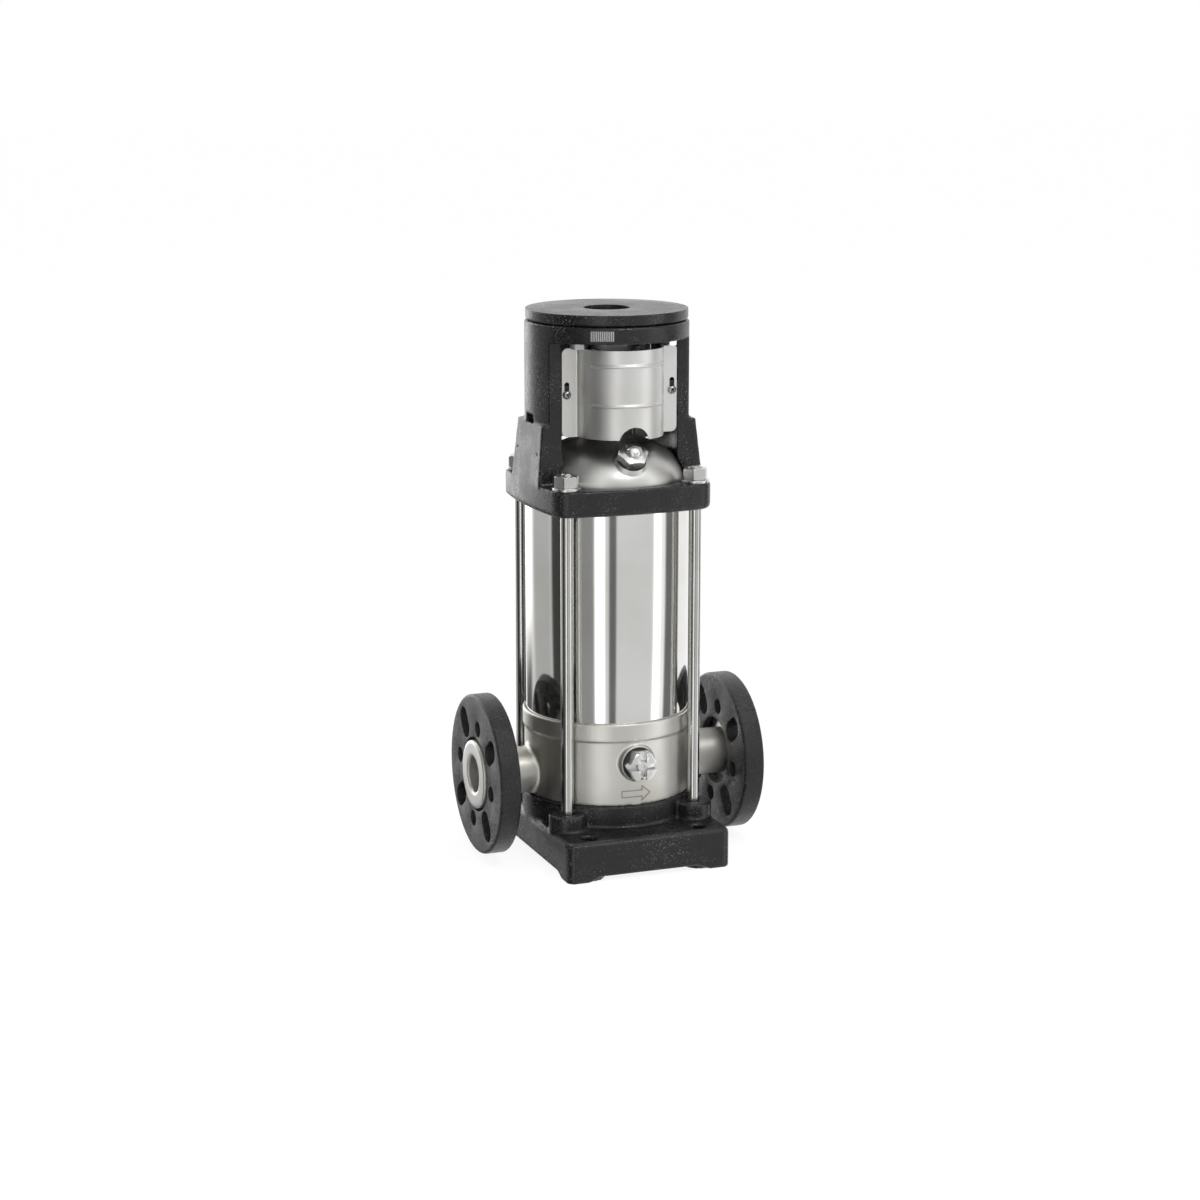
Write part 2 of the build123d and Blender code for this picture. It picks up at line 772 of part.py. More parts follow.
with BuildPart() as seal_bellows:
    wave = bellows_height / bellows_waves
    with BuildSketch(Plane.XZ):
        with BuildLine():
            folds = [(shaft_r + slip, shoulder_top)]
            for fold in range(bellows_waves):
                folds.append((bellows_r - wave / 2, shoulder_top + fold * wave))
                folds.append((bellows_r, shoulder_top + (fold + 0.5) * wave))
            folds.append((bellows_r - wave / 2, seal_head_base))
            folds.append((shaft_r + slip, seal_head_base))
            Polyline(*folds, close=True)
        make_face()
    revolve(axis=Axis.Z)
seal_bellows.part.label = "seal_bellows"
export_step(seal_bellows.part, "parts/seal_bellows.step")

# ------------------------------------------------------------------ motor stool
# One casting: the head plate, two legs with flat flared feet and the motor's seat ring.
panel_inside = stool_inner - stool_wall
cavity_flare = dome_r + dome_room
cavity_rise = dome_height(stool_inner - dome_room, dome_r, dome_rise) + dome_band - plate_cover

with BuildPart() as motor_stool:
    with BuildSketch(Plane.XY.offset(plate_bottom)) as plate_outline:
        with BuildLine():
            corner = plate_corner
            ThreePointArc((corner, -corner), (plate_bow, 0), (corner, corner))
            ThreePointArc((corner, corner), (0, plate_bow), (-corner, corner))
            ThreePointArc((-corner, corner), (-plate_bow, 0), (-corner, -corner))
            ThreePointArc((-corner, -corner), (0, -plate_bow), (corner, -corner))
        make_face()
        fillet(plate_outline.vertices(), plate_corner_r)
    extrude(amount=plate_thickness)
    fillet(motor_stool.edges().group_by(Axis.Z)[0], plate_edge_r)
    fillet(motor_stool.edges().group_by(Axis.Z)[-1], plate_rim_r)
    # flared feet of the legs
    for side in (1, -1):
        with BuildSketch(Plane.XY.offset(plate_top - plate_rim_r)):
            with Locations((side * (panel_foot + panel_inside) / 2, 0)):
                RectangleRounded(panel_foot - panel_inside, 2 * panel_foot_half, leg_edge_r)
        with BuildSketch(Plane.XY.offset(plate_top + panel_height)):
            with Locations((side * (panel_top + panel_inside) / 2, 0)):
                RectangleRounded(panel_top - panel_inside, 2 * leg_half, leg_edge_r)
        loft()
    # legs
    with BuildSketch(Plane.XY.offset(plate_top)) as leg_outline:
        Circle(stool_r)
        Circle(stool_inner, mode=Mode.SUBTRACT)
        Rectangle(2 * stool_r + overshoot, 2 * leg_half, mode=Mode.INTERSECT)
        outer_corners = leg_outline.vertices().filter_by(lambda vertex: abs(vertex.X) > stool_inner)
        fillet(outer_corners, leg_edge_r)
    extrude(amount=top_ring_base - plate_top + top_ring / 2)
    # two blind pin holes in each flat foot, and a drain slot through each leg above it
    with BuildSketch(Plane.YZ.offset(-panel_foot)):
        with Locations(*[(side * pin_hole_spread, plate_top + pin_hole_rise) for side in (1, -1)]):
            Circle(pin_hole_r)
    extrude(amount=panel_foot - panel_top + pin_hole_depth, mode=Mode.SUBTRACT)
    with BuildSketch(Plane.YZ.offset(panel_foot)):
        with Locations(*[(side * pin_hole_spread, plate_top + pin_hole_rise) for side in (1, -1)]):
            Circle(pin_hole_r)
    extrude(amount=panel_top - panel_foot - pin_hole_depth, mode=Mode.SUBTRACT)
    with BuildSketch(Plane.YZ.offset(-stool_r - overshoot)):
        with Locations((0, plate_top + panel_height - overshoot + drain_slot_height / 2)):
            Rectangle(drain_slot_width, drain_slot_height)
    extrude(amount=2 * stool_r + 2 * overshoot, mode=Mode.SUBTRACT)
    # seat ring for the motor
    with BuildSketch(Plane.XY.offset(top_ring_base)):
        Circle(stool_r)
    extrude(amount=top_ring)
    fillet(motor_stool.edges().filter_by(GeomType.CIRCLE).group_by(Axis.Z)[-1], plate_rim_r)
    with BuildSketch(Plane.XY.offset(top_ring_base)):
        Circle(register_r + running_gap)
    extrude(amount=top_ring, mode=Mode.SUBTRACT)
    with BuildSketch(Plane.XY.offset(top_ring_base)):
        with PolarLocations(motor_bolt_circle_r, 4, 45):
            Circle(motor_bolt_r + loose)
    extrude(amount=top_ring, mode=Mode.SUBTRACT)
    # lugs behind the guards' side flaps
    for side in (1, -1):
        for face in (1, -1):
            with BuildSketch(Plane.XZ.offset(face * guard_inside)):
                with Locations((side * (guard_screw_x + lug_shift), guard_screw_z)):
                    Rectangle(lug_width, lug_height)
            extrude(amount=-face * lug_depth)
    with BuildSketch(Plane.XZ.offset(-guard_face)):
        with Locations(*[(side * guard_screw_x, guard_screw_z) for side in (1, -1)]):
            Circle(guard_screw_r + running_gap)
    extrude(amount=2 * guard_face, mode=Mode.SUBTRACT)
    # space for the dome, then the hole and ledge that hold the pump head
    with BuildSketch(Plane.XZ):
        with BuildLine():
            Polyline(
                (0, plate_ledge),
                (cavity_flare, plate_ledge),
                (cavity_flare, plate_top + dome_room),
                (stool_inner, plate_top + cavity_rise + dome_room),
                (0, plate_top + cavity_rise + dome_room),
                close=True,
            )
        make_face()
    revolve(axis=Axis.Z, mode=Mode.SUBTRACT)
    with BuildSketch(Plane.XY.offset(plate_top + cavity_rise)):
        Circle(stool_inner)
    extrude(amount=panel_height - cavity_rise + overshoot, mode=Mode.SUBTRACT)
    with BuildSketch(Plane.XY.offset(plate_bottom)):
        Circle(sleeve_r + loose)
    extrude(amount=plate_ledge - plate_bottom, mode=Mode.SUBTRACT)
    with BuildSketch(Plane.XY.offset(plate_bottom)):
        with GridLocations(stay_spacing, stay_spacing, 2, 2):
            Circle(stay_r + stay_hole_gap)
    extrude(amount=plate_thickness, mode=Mode.SUBTRACT)
motor_stool.part.label = "motor_stool"
export_step(motor_stool.part, "parts/motor_stool.step")

# ------------------------------------------------------------------ staybolts
with BuildPart() as staybolts:
    with BuildSketch(Plane.XY.offset(stay_seat - stay_thread)):
        with GridLocations(stay_spacing, stay_spacing, 2, 2):
            Circle(stay_r)
    extrude(amount=plate_top + stay_washer_height + stay_nut_height + stay_end - stay_seat + stay_thread)
    chamfer(staybolts.edges().group_by(Axis.Z)[-1], stay_end / 2)
staybolts.part.label = "staybolts"
export_step(staybolts.part, "parts/staybolts.step")

with BuildPart() as staybolt_washers:
    with BuildSketch(Plane.XY.offset(plate_top)):
        with GridLocations(stay_spacing, stay_spacing, 2, 2):
            Circle(stay_washer_r)
            Circle(stay_r + slip, mode=Mode.SUBTRACT)
    extrude(amount=stay_washer_height)
staybolt_washers.part.label = "staybolt_washers"
export_step(staybolt_washers.part, "parts/staybolt_washers.step")


with BuildPart() as staybolt_nuts:
    with BuildSketch(Plane.XY.offset(plate_top + stay_washer_height)):
        with GridLocations(stay_spacing, stay_spacing, 2, 2):
            RegularPolygon(hexagon_radius(stay_nut_flats), 6)
            Circle(stay_r + slip, mode=Mode.SUBTRACT)
    extrude(amount=stay_nut_height)
staybolt_nuts.part.label = "staybolt_nuts"
export_step(staybolt_nuts.part, "parts/staybolt_nuts.step")

# ------------------------------------------------------------------ motor's lower flange
with BuildPart() as motor_flange:
    with BuildSketch(Plane.XY.offset(stool_top)):
        Circle(motor_flange_r)
    extrude(amount=motor_flange_height)
    fillet(motor_flange.edges().group_by(Axis.Z)[0], motor_flange_edge_r)
    with BuildSketch(Plane.XY.offset(stool_top - register_depth)):
        Circle(register_r)
    extrude(amount=register_depth)
    with BuildSketch(Plane.XY.offset(stool_top - register_depth)):
        Circle(motor_opening_r)
    extrude(amount=motor_flange_height + register_depth, mode=Mode.SUBTRACT)
    with BuildSketch(Plane.XY.offset(stool_top)):
        with PolarLocations(motor_bolt_circle_r, 4, 45):
            Circle(motor_bolt_r + running_gap)
    extrude(amount=motor_flange_height - overshoot, mode=Mode.SUBTRACT)
motor_flange.part.label = "motor_flange"
export_step(motor_flange.part, "parts/motor_flange.step")

with BuildPart() as motor_bolts:
    with BuildSketch(Plane.XY.offset(top_ring_base - motor_bolt_head)):
        with PolarLocations(motor_bolt_circle_r, 4, 45):
            RegularPolygon(hexagon_radius(motor_bolt_flats), 6)
    extrude(amount=motor_bolt_head)
    with BuildSketch(Plane.XY.offset(top_ring_base)):
        with PolarLocations(motor_bolt_circle_r, 4, 45):
            Circle(motor_bolt_r)
    extrude(amount=top_ring + motor_flange_height - 2 * overshoot)
motor_bolts.part.label = "motor_bolts"
export_step(motor_bolts.part, "parts/motor_bolts.step")

# ------------------------------------------------------------------ shaft coupling
lower_screw_z = coupling_bottom + shaft_grip - coupling_head_r
upper_screw_z = coupling_top - coupling_screw_inset
screw_spots = [(side * coupling_screw_x, z) for side in (1, -1) for z in (lower_screw_z, upper_screw_z)]

for name, face in {"front": -1, "rear": 1}.items():
    with BuildPart() as coupling_half:
        with BuildSketch(Plane.XY.offset(coupling_bottom)):
            Circle(coupling_r)
            Rectangle(2 * coupling_ear, 2 * coupling_ear_half)
            with Locations((0, face * (coupling_r + coupling_gap / 2))):
                Rectangle(2 * coupling_ear, 2 * coupling_r, mode=Mode.INTERSECT)
        extrude(amount=coupling_length)
        with BuildSketch(Plane.XY.offset(coupling_bottom)):
            Circle(shaft_r + slip)
        extrude(amount=coupling_length, mode=Mode.SUBTRACT)
        with BuildSketch(Plane.XY.offset(motor_shaft_seat)):
            Circle(motor_shaft_r)
        extrude(amount=motor_grip, mode=Mode.SUBTRACT)
        # screw holes, with spot faces for the heads in the front half
        with BuildSketch(Plane.XZ.offset(-coupling_r)):
            with Locations(*screw_spots):
                Circle(coupling_screw_r + running_gap)
        extrude(amount=2 * coupling_r, mode=Mode.SUBTRACT)
        with BuildSketch(Plane.XZ.offset(coupling_ear_half)):
            with Locations(*screw_spots):
                Circle(coupling_head_r + loose)
        extrude(amount=coupling_r, mode=Mode.SUBTRACT)
        with BuildSketch(Plane.YZ.offset(-pin_length / 2 - loose)):
            with Locations((0, coupling_bottom + pin_rise)):
                Circle(pin_r + slip)
        extrude(amount=pin_length + 2 * loose, mode=Mode.SUBTRACT)
    coupling_half.part.label = f"coupling_half_{name}"
    export_step(coupling_half.part, f"parts/coupling_half_{name}.step")

with BuildPart() as coupling_screws:
    with BuildSketch(Plane.XZ.offset(coupling_ear_half)):
        with Locations(*screw_spots):
            Circle(coupling_head_r)
            RegularPolygon(coupling_head_r / 2, 6, mode=Mode.SUBTRACT)
    extrude(amount=coupling_head)
    with BuildSketch(Plane.XZ.offset(coupling_ear_half)):
        with Locations(*screw_spots):
            Circle(coupling_screw_r)
    extrude(amount=-2 * coupling_ear_half)
    with BuildSketch(Plane.XZ.offset(coupling_ear_half)):
        with Locations(*screw_spots):
            Circle(coupling_head_r)
    extrude(amount=coupling_head / 2)
coupling_screws.part.label = "coupling_screws"
export_step(coupling_screws.part, "parts/coupling_screws.step")

with BuildPart() as shaft_pin:
    with BuildSketch(Plane.YZ.offset(-pin_length / 2)):
        with Locations((0, coupling_bottom + pin_rise)):
            Circle(pin_r)
    extrude(amount=pin_length)
shaft_pin.part.label = "shaft_pin"
export_step(shaft_pin.part, "parts/shaft_pin.step")

# ------------------------------------------------------------------ coupling guards
# Pressed sheet: two flat flaps and a half-round bulge with two stiffening beads.
bulge_y = guard_face - guard_wall
notch_z = guard_bottom + guard_notch_rise - guard_notch_r

for name, face in {"front": -1, "rear": 1}.items():
    with BuildPart() as guard:
        with BuildSketch(Plane.XY.offset(guard_bottom)):
            with Locations((0, face * (guard_face - guard_wall / 2))):
                Rectangle(2 * guard_half, guard_wall)
            with Locations((0, face * bulge_y)):
                Circle(guard_r)
            with Locations((0, face * (bulge_y + guard_r))):
                Rectangle(2 * guard_half, 2 * guard_r, mode=Mode.INTERSECT)
            with Locations((0, face * bulge_y)):
                Circle(guard_r - guard_wall, mode=Mode.SUBTRACT)
        extrude(amount=guard_height)
        flap_corners = guard.edges().filter_by(Axis.Y)
        flap_corners = [edge for edge in flap_corners if abs(edge.center().X) > guard_screw_x]
        fillet(flap_corners, guard_corner_r)
        for bead in (lower_bead, lower_bead + bead_spacing):
            with BuildSketch(Plane.XY.offset(guard_bottom + bead - bead_r)):
                with Locations((0, face * bulge_y)):
                    Circle(guard_r + bead_r)
                    Circle(guard_r - guard_wall / 2, mode=Mode.SUBTRACT)
                with Locations((0, face * (bulge_y + guard_r * cos(radians(bead_half_angle)) + guard_r))):
                    Rectangle(2 * guard_half, 2 * guard_r, mode=Mode.INTERSECT)
            extrude(amount=2 * bead_r)
        with BuildSketch(Plane.XZ.offset(-face * guard_inside)):
            with Locations((0, notch_z)):
                Circle(guard_notch_r)
            for side in (1, -1):
                with Locations((side * guard_screw_x, guard_screw_z + guard_slot / 2)):
                    SlotCenterToCenter(guard_slot, 2 * guard_slot_r, rotation=90)
        extrude(amount=-face * (guard_r + guard_wall + bead_r), mode=Mode.SUBTRACT)
    guard.part.label = f"guard_{name}"
    export_step(guard.part, f"parts/guard_{name}.step")

with BuildPart() as guard_screws:
    for face in (1, -1):
        screws = [(side * guard_screw_x, guard_screw_z) for side in (1, -1)]
        with BuildSketch(Plane.XZ.offset(face * guard_face)):
            with Locations(*screws):
                Circle(guard_screw_head_r)
        extrude(amount=face * guard_screw_head)
        with BuildSketch(Plane.XZ.offset(face * guard_face)):
            with Locations(*screws):
                Circle(guard_screw_r)
        extrude(amount=-face * guard_screw_length)
guard_screws.part.label = "guard_screws"
export_step(guard_screws.part, "parts/guard_screws.step")

# ------------------------------------------------------------------ priming plug
plug_face = priming_boss + priming_gasket_height + priming_hex

with BuildPart() as priming_gasket:
    with BuildSketch(priming_plane.offset(priming_boss + seat_gap)):
        Circle(priming_boss_r - loose)
        Circle(priming_thread_r + thread_gap, mode=Mode.SUBTRACT)
    extrude(amount=priming_gasket_height - 2 * seat_gap)
priming_gasket.part.label = "priming_gasket"
export_step(priming_gasket.part, "parts/priming_gasket.step")

with BuildPart() as priming_plug:
    with BuildSketch(priming_plane.offset(priming_boss + priming_gasket_height)):
        RegularPolygon(hexagon_radius(priming_flats), 6)
    extrude(amount=priming_hex)
    with BuildSketch(priming_plane.offset(-priming_boss_inside + overshoot)):
        Circle(priming_thread_r)
    extrude(amount=priming_boss_inside - overshoot + priming_boss + priming_gasket_height)
    with BuildSketch(priming_plane.offset(-priming_boss_inside)):
        Circle(vent_thread_r + thread_gap)
    extrude(amount=priming_boss_inside + plug_face, mode=Mode.SUBTRACT)
priming_plug.part.label = "priming_plug"
export_step(priming_plug.part, "parts/priming_plug.step")

with BuildPart() as vent_ring:
    with BuildSketch(priming_plane.offset(plug_face + seat_gap)):
        Circle(vent_head_r - overshoot)
        Circle(vent_thread_r + thread_gap, mode=Mode.SUBTRACT)
    extrude(amount=vent_ring_height - 2 * seat_gap)
vent_ring.part.label = "vent_ring"
export_step(vent_ring.part, "parts/vent_ring.step")

with BuildPart() as vent_screw:
    with BuildSketch(priming_plane.offset(plug_face + vent_ring_height)):
        Circle(vent_head_r)
    extrude(amount=vent_head)
    fillet(vent_screw.edges().sort_by(Axis((0, 0, 0), priming_axis))[-1], vent_slot)
    with BuildSketch(priming_plane.offset(plug_face + vent_ring_height + vent_head / 2)):
        Rectangle(3 * vent_head_r, vent_slot)
    extrude(amount=vent_head / 2, mode=Mode.SUBTRACT)
    with BuildSketch(priming_plane.offset(-priming_boss_inside / 2)):
        Circle(vent_thread_r)
    extrude(amount=priming_boss_inside / 2 + plug_face + vent_ring_height)
vent_screw.part.label = "vent_screw"
export_step(vent_screw.part, "parts/vent_screw.step")

# ------------------------------------------------------------------ drain plug
drain_face = drain_boss + drain_gasket_height + drain_hex
slot_floor = drain_face - drain_slot_depth

with BuildPart() as drain_gasket:
    with BuildSketch(drain_plane.offset(drain_boss + seat_gap)):
        Circle(drain_boss_r - overshoot)
        Circle(drain_thread_r + thread_gap, mode=Mode.SUBTRACT)
    extrude(amount=drain_gasket_height - 2 * seat_gap)
drain_gasket.part.label = "drain_gasket"
export_step(drain_gasket.part, "parts/drain_gasket.step")

with BuildPart() as drain_plug:
    with BuildSketch(drain_plane.offset(drain_boss + drain_gasket_height)):
        RegularPolygon(hexagon_radius(drain_flats), 6)
    extrude(amount=drain_hex)
    with BuildSketch(drain_plane.offset(slot_floor)):
        Rectangle(3 * drain_flats, drain_slot)
        Rectangle(drain_slot, 3 * drain_flats)
    extrude(amount=drain_slot_depth, mode=Mode.SUBTRACT)
    with BuildSketch(drain_plane.offset(drain_boss - drain_thread)):
        Circle(drain_thread_r)
    extrude(amount=drain_thread + drain_gasket_height)
    with BuildSketch(drain_plane.offset(drain_boss - drain_thread)):
        Circle(spindle_r + thread_gap)
    extrude(amount=drain_thread + drain_face, mode=Mode.SUBTRACT)
    with BuildSketch(drain_plane.offset(slot_floor - spindle_head)):
        Circle(spindle_head_r + loose)
    extrude(amount=spindle_head + drain_slot_depth, mode=Mode.SUBTRACT)
drain_plug.part.label = "drain_plug"
export_step(drain_plug.part, "parts/drain_plug.step")

spindle_seat = slot_floor - spindle_head + seat_gap
with BuildPart() as spindle_ring:
    with BuildSketch(drain_plane.offset(spindle_seat)):
        Circle(spindle_head_r)
        Circle(spindle_r + thread_gap, mode=Mode.SUBTRACT)
    extrude(amount=spindle_ring_height - 2 * seat_gap)
spindle_ring.part.label = "spindle_ring"
export_step(spindle_ring.part, "parts/spindle_ring.step")

with BuildPart() as bypass_spindle:
    with BuildSketch(drain_plane.offset(spindle_seat + spindle_ring_height)):
        Circle(spindle_head_r)
    extrude(amount=spindle_head)
    with BuildSketch(drain_plane.offset(spindle_seat + spindle_ring_height + spindle_head / 2)):
        RegularPolygon(spindle_head_r / 2, 6)
    extrude(amount=spindle_head / 2, mode=Mode.SUBTRACT)
    with BuildSketch(drain_plane.offset(spindle_seat + spindle_ring_height)):
        Circle(spindle_r)
    extrude(amount=-spindle_length)
bypass_spindle.part.label = "bypass_spindle"
export_step(bypass_spindle.part, "parts/bypass_spindle.step")
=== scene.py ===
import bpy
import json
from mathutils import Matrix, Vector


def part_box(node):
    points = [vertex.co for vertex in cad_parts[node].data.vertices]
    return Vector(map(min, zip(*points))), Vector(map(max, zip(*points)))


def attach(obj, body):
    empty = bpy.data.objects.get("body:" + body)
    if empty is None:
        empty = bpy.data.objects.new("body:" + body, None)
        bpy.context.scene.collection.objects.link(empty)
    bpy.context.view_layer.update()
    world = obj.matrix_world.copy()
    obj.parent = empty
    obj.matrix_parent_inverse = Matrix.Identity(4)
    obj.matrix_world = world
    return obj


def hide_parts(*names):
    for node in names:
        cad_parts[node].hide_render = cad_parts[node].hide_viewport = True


bl_info = {
    "name": "Vertical Multistage Pump",
    "version": (1, 0, 0),
    "blender": (4, 5, 0),
    "location": "3D View > Sidebar > Pump",
    "description": "Finished castings, sheet parts, fasteners and studio for a vertical multistage pump",
    "category": "Object",
}

import json
from math import atan2, cos, degrees, pi, radians, sin, sqrt, tan

import bmesh
import bpy
from bpy.props import FloatProperty, FloatVectorProperty, IntProperty, PointerProperty
from mathutils import Matrix, Vector

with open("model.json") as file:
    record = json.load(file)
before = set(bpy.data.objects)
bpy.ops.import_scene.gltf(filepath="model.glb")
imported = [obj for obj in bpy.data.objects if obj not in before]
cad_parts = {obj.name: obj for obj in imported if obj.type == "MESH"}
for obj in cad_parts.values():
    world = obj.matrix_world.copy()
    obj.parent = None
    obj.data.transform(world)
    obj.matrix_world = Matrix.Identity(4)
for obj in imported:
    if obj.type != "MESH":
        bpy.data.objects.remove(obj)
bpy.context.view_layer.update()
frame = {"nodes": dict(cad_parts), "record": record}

MM = 0.001
Z_UP = Matrix.Identity(4)
SPARE = 1 * MM  # how far a cutter stands past what it cuts


# ------------------------------------------------------------------ settings
def length(name, description, default):
    """A length in metres that a user can change."""
    return FloatProperty(name=name, description=description, default=default, min=0, precision=5, unit="LENGTH")


def angle(name, description, default):
    """An angle that a user can change; the default is in degrees."""
    return FloatProperty(name=name, description=description, default=radians(default), subtype="ANGLE")


def amount(name, description, default, unit="NONE"):
    """A plain number that a user can change."""
    return FloatProperty(name=name, description=description, default=default, min=0, unit=unit)


def colour(name, description, default):
    """A linear colour that a user can change."""
    return FloatVectorProperty(
        name=name, description=description, default=default, size=3, min=0, max=1, subtype="COLOR")


class PumpSizes(bpy.types.PropertyGroup):
    casting_cell: length("Casting Cell", "Cell that rounds the edges of the large castings", 1.3 * MM)
    fine_cell: length("Fine Cell", "Cell that rounds the edges of the foot", 1.15 * MM)
    sleeve_wall: length("Sleeve Wall", "Thickness of the pressure sleeve", 2.0 * MM)
    sheet_wall: length("Guard Wall", "Thickness of the coupling guards' sheet", 1.5 * MM)
    sheet_bend: length("Guard Bend", "Outer bend radius beside the guards' flaps", 2.2 * MM)
    bead_height: length("Bead Height", "How far the guards' beads stand out", 1.2 * MM)
    bead_width: length("Bead Width", "Width of a bead on the guards", 4.2 * MM)
    bead_low: length("Lower Bead", "Height of the lower bead above the guard's lower edge", 28.6 * MM)
    bead_high: length("Upper Bead", "Height of the upper bead above the guard's lower edge", 62.3 * MM)
    slot_travel: length("Slot Travel", "Length of the guards' slots above their screws", 8.5 * MM)
    slot_radius: length("Slot Radius", "Half the width of the guards' slots", 2.25 * MM)
    flap_corner: length("Flap Corner", "Rounding on the corners of the guards' flaps", 5.0 * MM)
    rear_skirt: length("Rear Skirt", "How much further down the rear guard reaches", 14.0 * MM)
    notch_radius: length("Notch Radius", "Radius of the front guard's notch over the seal", 13.5 * MM)
    notch_rise: length("Notch Rise", "Height of the notch above the guard's lower edge", 10.8 * MM)
    screw_head: length("Screw Head", "Height of the guard screws' heads", 2.6 * MM)
    screw_shank: length("Screw Shank", "Radius of the guard screws' shanks", 2.0 * MM)
    screw_reach: length("Screw Reach", "Length of the guard screws' shanks", 7.0 * MM)
    screw_slot: length("Screw Slot", "Width of the guard screws' cross slots", 0.8 * MM)
    thread_pitch: length("Thread Pitch", "Pitch of the staybolts' thread", 1.5 * MM)
    bolt_chamfer: length("Bolt Chamfer", "Chamfer on the upper ends of the staybolts", 1.0 * MM)
    nut_chamfer: length("Nut Chamfer", "Chamfer on the corners of the staybolts' nuts", 1.1 * MM)
    rib_pitch: length("Rib Pitch", "Pitch of the grip ribs on the stool's seat ring", 1.55 * MM)
    # the grip ribs face the bearing of a highlight, and their bright finish is a painted highlight
    rib_highlight_bearing: angle("Rib Bearing", "Bearing of the grip ribs from the front towards the right", -24)
    rib_count: IntProperty(name="Ribs", description="Number of grip ribs on the seat ring", default=13, min=1)
    rib_height: length("Rib Height", "Height of the grip ribs", 8.5 * MM)
    rib_drop: length("Rib Drop", "Distance from the seat ring's top to the middle of the ribs", 7.2 * MM)
    pin_radius: length("Pin Hole Radius", "Radius of the pin holes in the stool's flat feet", 1.1 * MM)
    pin_depth: length("Pin Hole Depth", "Depth of the pin holes, from the stool's widest place", 12.0 * MM)
    pin_spread: length("Pin Hole Spread", "Half the distance between the two pin holes of a foot", 25.0 * MM)
    pin_rise: length("Pin Hole Rise", "Height of the pin holes above the head plate", 26.0 * MM)
    motor_register: length("Motor Register", "Radius inside the rim of the motor's flange", 47.5 * MM)
    motor_bore: length("Motor Bore", "Radius of the shaft's hole in the motor's flange", 20.0 * MM)
    motor_bolt_flats: length("Motor Bolt Flats", "Width over flats of the motor bolts' heads", 13.0 * MM)
    motor_bolt_head: length("Motor Bolt Head", "Height of the motor bolts' heads", 5.3 * MM)
    motor_bolt_chamfer: length("Motor Bolt Chamfer", "Chamfer on the motor bolts' heads", 0.8 * MM)
    motor_bolt_shank: length("Motor Bolt Shank", "Radius of the motor bolts' shanks", 4.0 * MM)
    arrow_length: length("Arrow Length", "Length of the flow arrow on the foot", 27.0 * MM)
    arrow_width: length("Arrow Width", "Width of the flow arrow's head", 14.5 * MM)
    arrow_stroke: length("Arrow Stroke", "Width of the flow arrow's raised line", 0.8 * MM)
    arrow_drop: length("Arrow Drop", "Distance of the flow arrow below the drain plug", 28.0 * MM)
    plug_slot: length("Plug Slot", "Width of the cross slot in the drain plug", 5.5 * MM)
    plug_slot_depth: length("Plug Slot Depth", "Depth of the cross slot at its middle", 4.0 * MM)
    plug_slot_fall: angle("Plug Slot Fall", "Slope of the cross slot's arms towards the rim", 20)
    flange_edge: length("Flange Edge", "Rounding on the flanges' edges", 0.7 * MM)
    thin_edge: length("Thin Edge", "Rounding on the edges of the sleeve and the washers", 0.4 * MM)
    edge_break: length("Edge Break", "Rounding on the edges of turned and milled parts", 0.3 * MM)


class PumpFinishes(bpy.types.PropertyGroup):
    paint: colour("Black Paint", "Enamel on the castings", (0.008, 0.008, 0.009))
    blasted: colour("Blasted Steel", "Bead-blasted stainless casting", (0.74, 0.73, 0.69))
    polished: colour("Polished Steel", "Polished stainless sleeve", (0.82, 0.82, 0.81))
    drawn: colour("Drawn Steel", "Staybolts", (0.60, 0.60, 0.59))
    satin: colour("Satin Steel", "Pressed stainless head", (0.70, 0.70, 0.69))
    sheet: colour("Sheet Steel", "Guards and plugs", (0.80, 0.80, 0.79))
    # darker grey on the raised flow arrow: painted shade for its thin relief
    marking: colour("Marking", "Line of the flow arrow", (0.4, 0.395, 0.38))
    zinc: colour("Zinc Steel", "Zinc-plated nuts and screws", (0.72, 0.72, 0.72))
    rubber: colour("Rubber", "Gaskets and seal bellows", (0.02, 0.02, 0.02))
    carbide: colour("Bearing", "Ceramic bearing bushes", (0.06, 0.06, 0.065))


class StudioSettings(bpy.types.PropertyGroup):
    azimuth: angle("Azimuth", "Camera's turn round the pump", -21.016)
    pan: angle("Pan", "Camera's pan past the pump's axis", 0.141)
    pitch: angle("Pitch", "Camera's tilt below the horizon", 12.227)
    distance: length("Distance", "Camera's distance from the pump's axis", 2.3451)
    height: length("Height", "Camera's height above the floor", 0.7292)
    focal: amount("Focal Length", "Camera's focal length in millimetres", 82.08, "CAMERA")
    surround: amount("Surround", "Level of the plain light from all round", 0.62)
    ceiling: amount("Ceiling", "Power of the soft light overhead", 9.0)
    side: amount("Side Light", "Power of the soft light on the left", 4.5)
    key: amount("Key Light", "Power of the small light over the front that brings out grains and edges", 10.0)


# ------------------------------------------------------------------ nodes
def add(tree, kind, *inputs, **settings):
    """Adds a node with its settings, and feeds its inputs with outputs or plain values."""
    node = tree.nodes.new(kind)
    for name, value in settings.items():
        setattr(node, name, value)
    for socket, value in inputs:
        if isinstance(value, bpy.types.NodeSocket):
            tree.links.new(value, node.inputs[socket])
        else:
            node.inputs[socket].default_value = value
    return node


def maths(tree, operation, *values, clamp=False):
    """The result of a Math node."""
    return add(tree, "ShaderNodeMath", *enumerate(values), operation=operation, use_clamp=clamp).outputs[0]


def noise(tree, vector, scale, detail=2.0, roughness=0.5):
    """The value of a noise texture."""
    sockets = ("Detail", detail), ("Roughness", roughness), ("Vector", vector), ("Scale", scale)
    return add(tree, "ShaderNodeTexNoise", *sockets).outputs["Fac"]


def remap(tree, value, low, high, out_low=0.0, out_high=1.0):
    """Maps a value smoothly from one range to another."""
    names = ("Value", "From Min", "From Max", "To Min", "To Max")
    sockets = zip(names, (value, low, high, out_low, out_high))
    return add(tree, "ShaderNodeMapRange", *sockets, interpolation_type="SMOOTHSTEP").outputs["Result"]


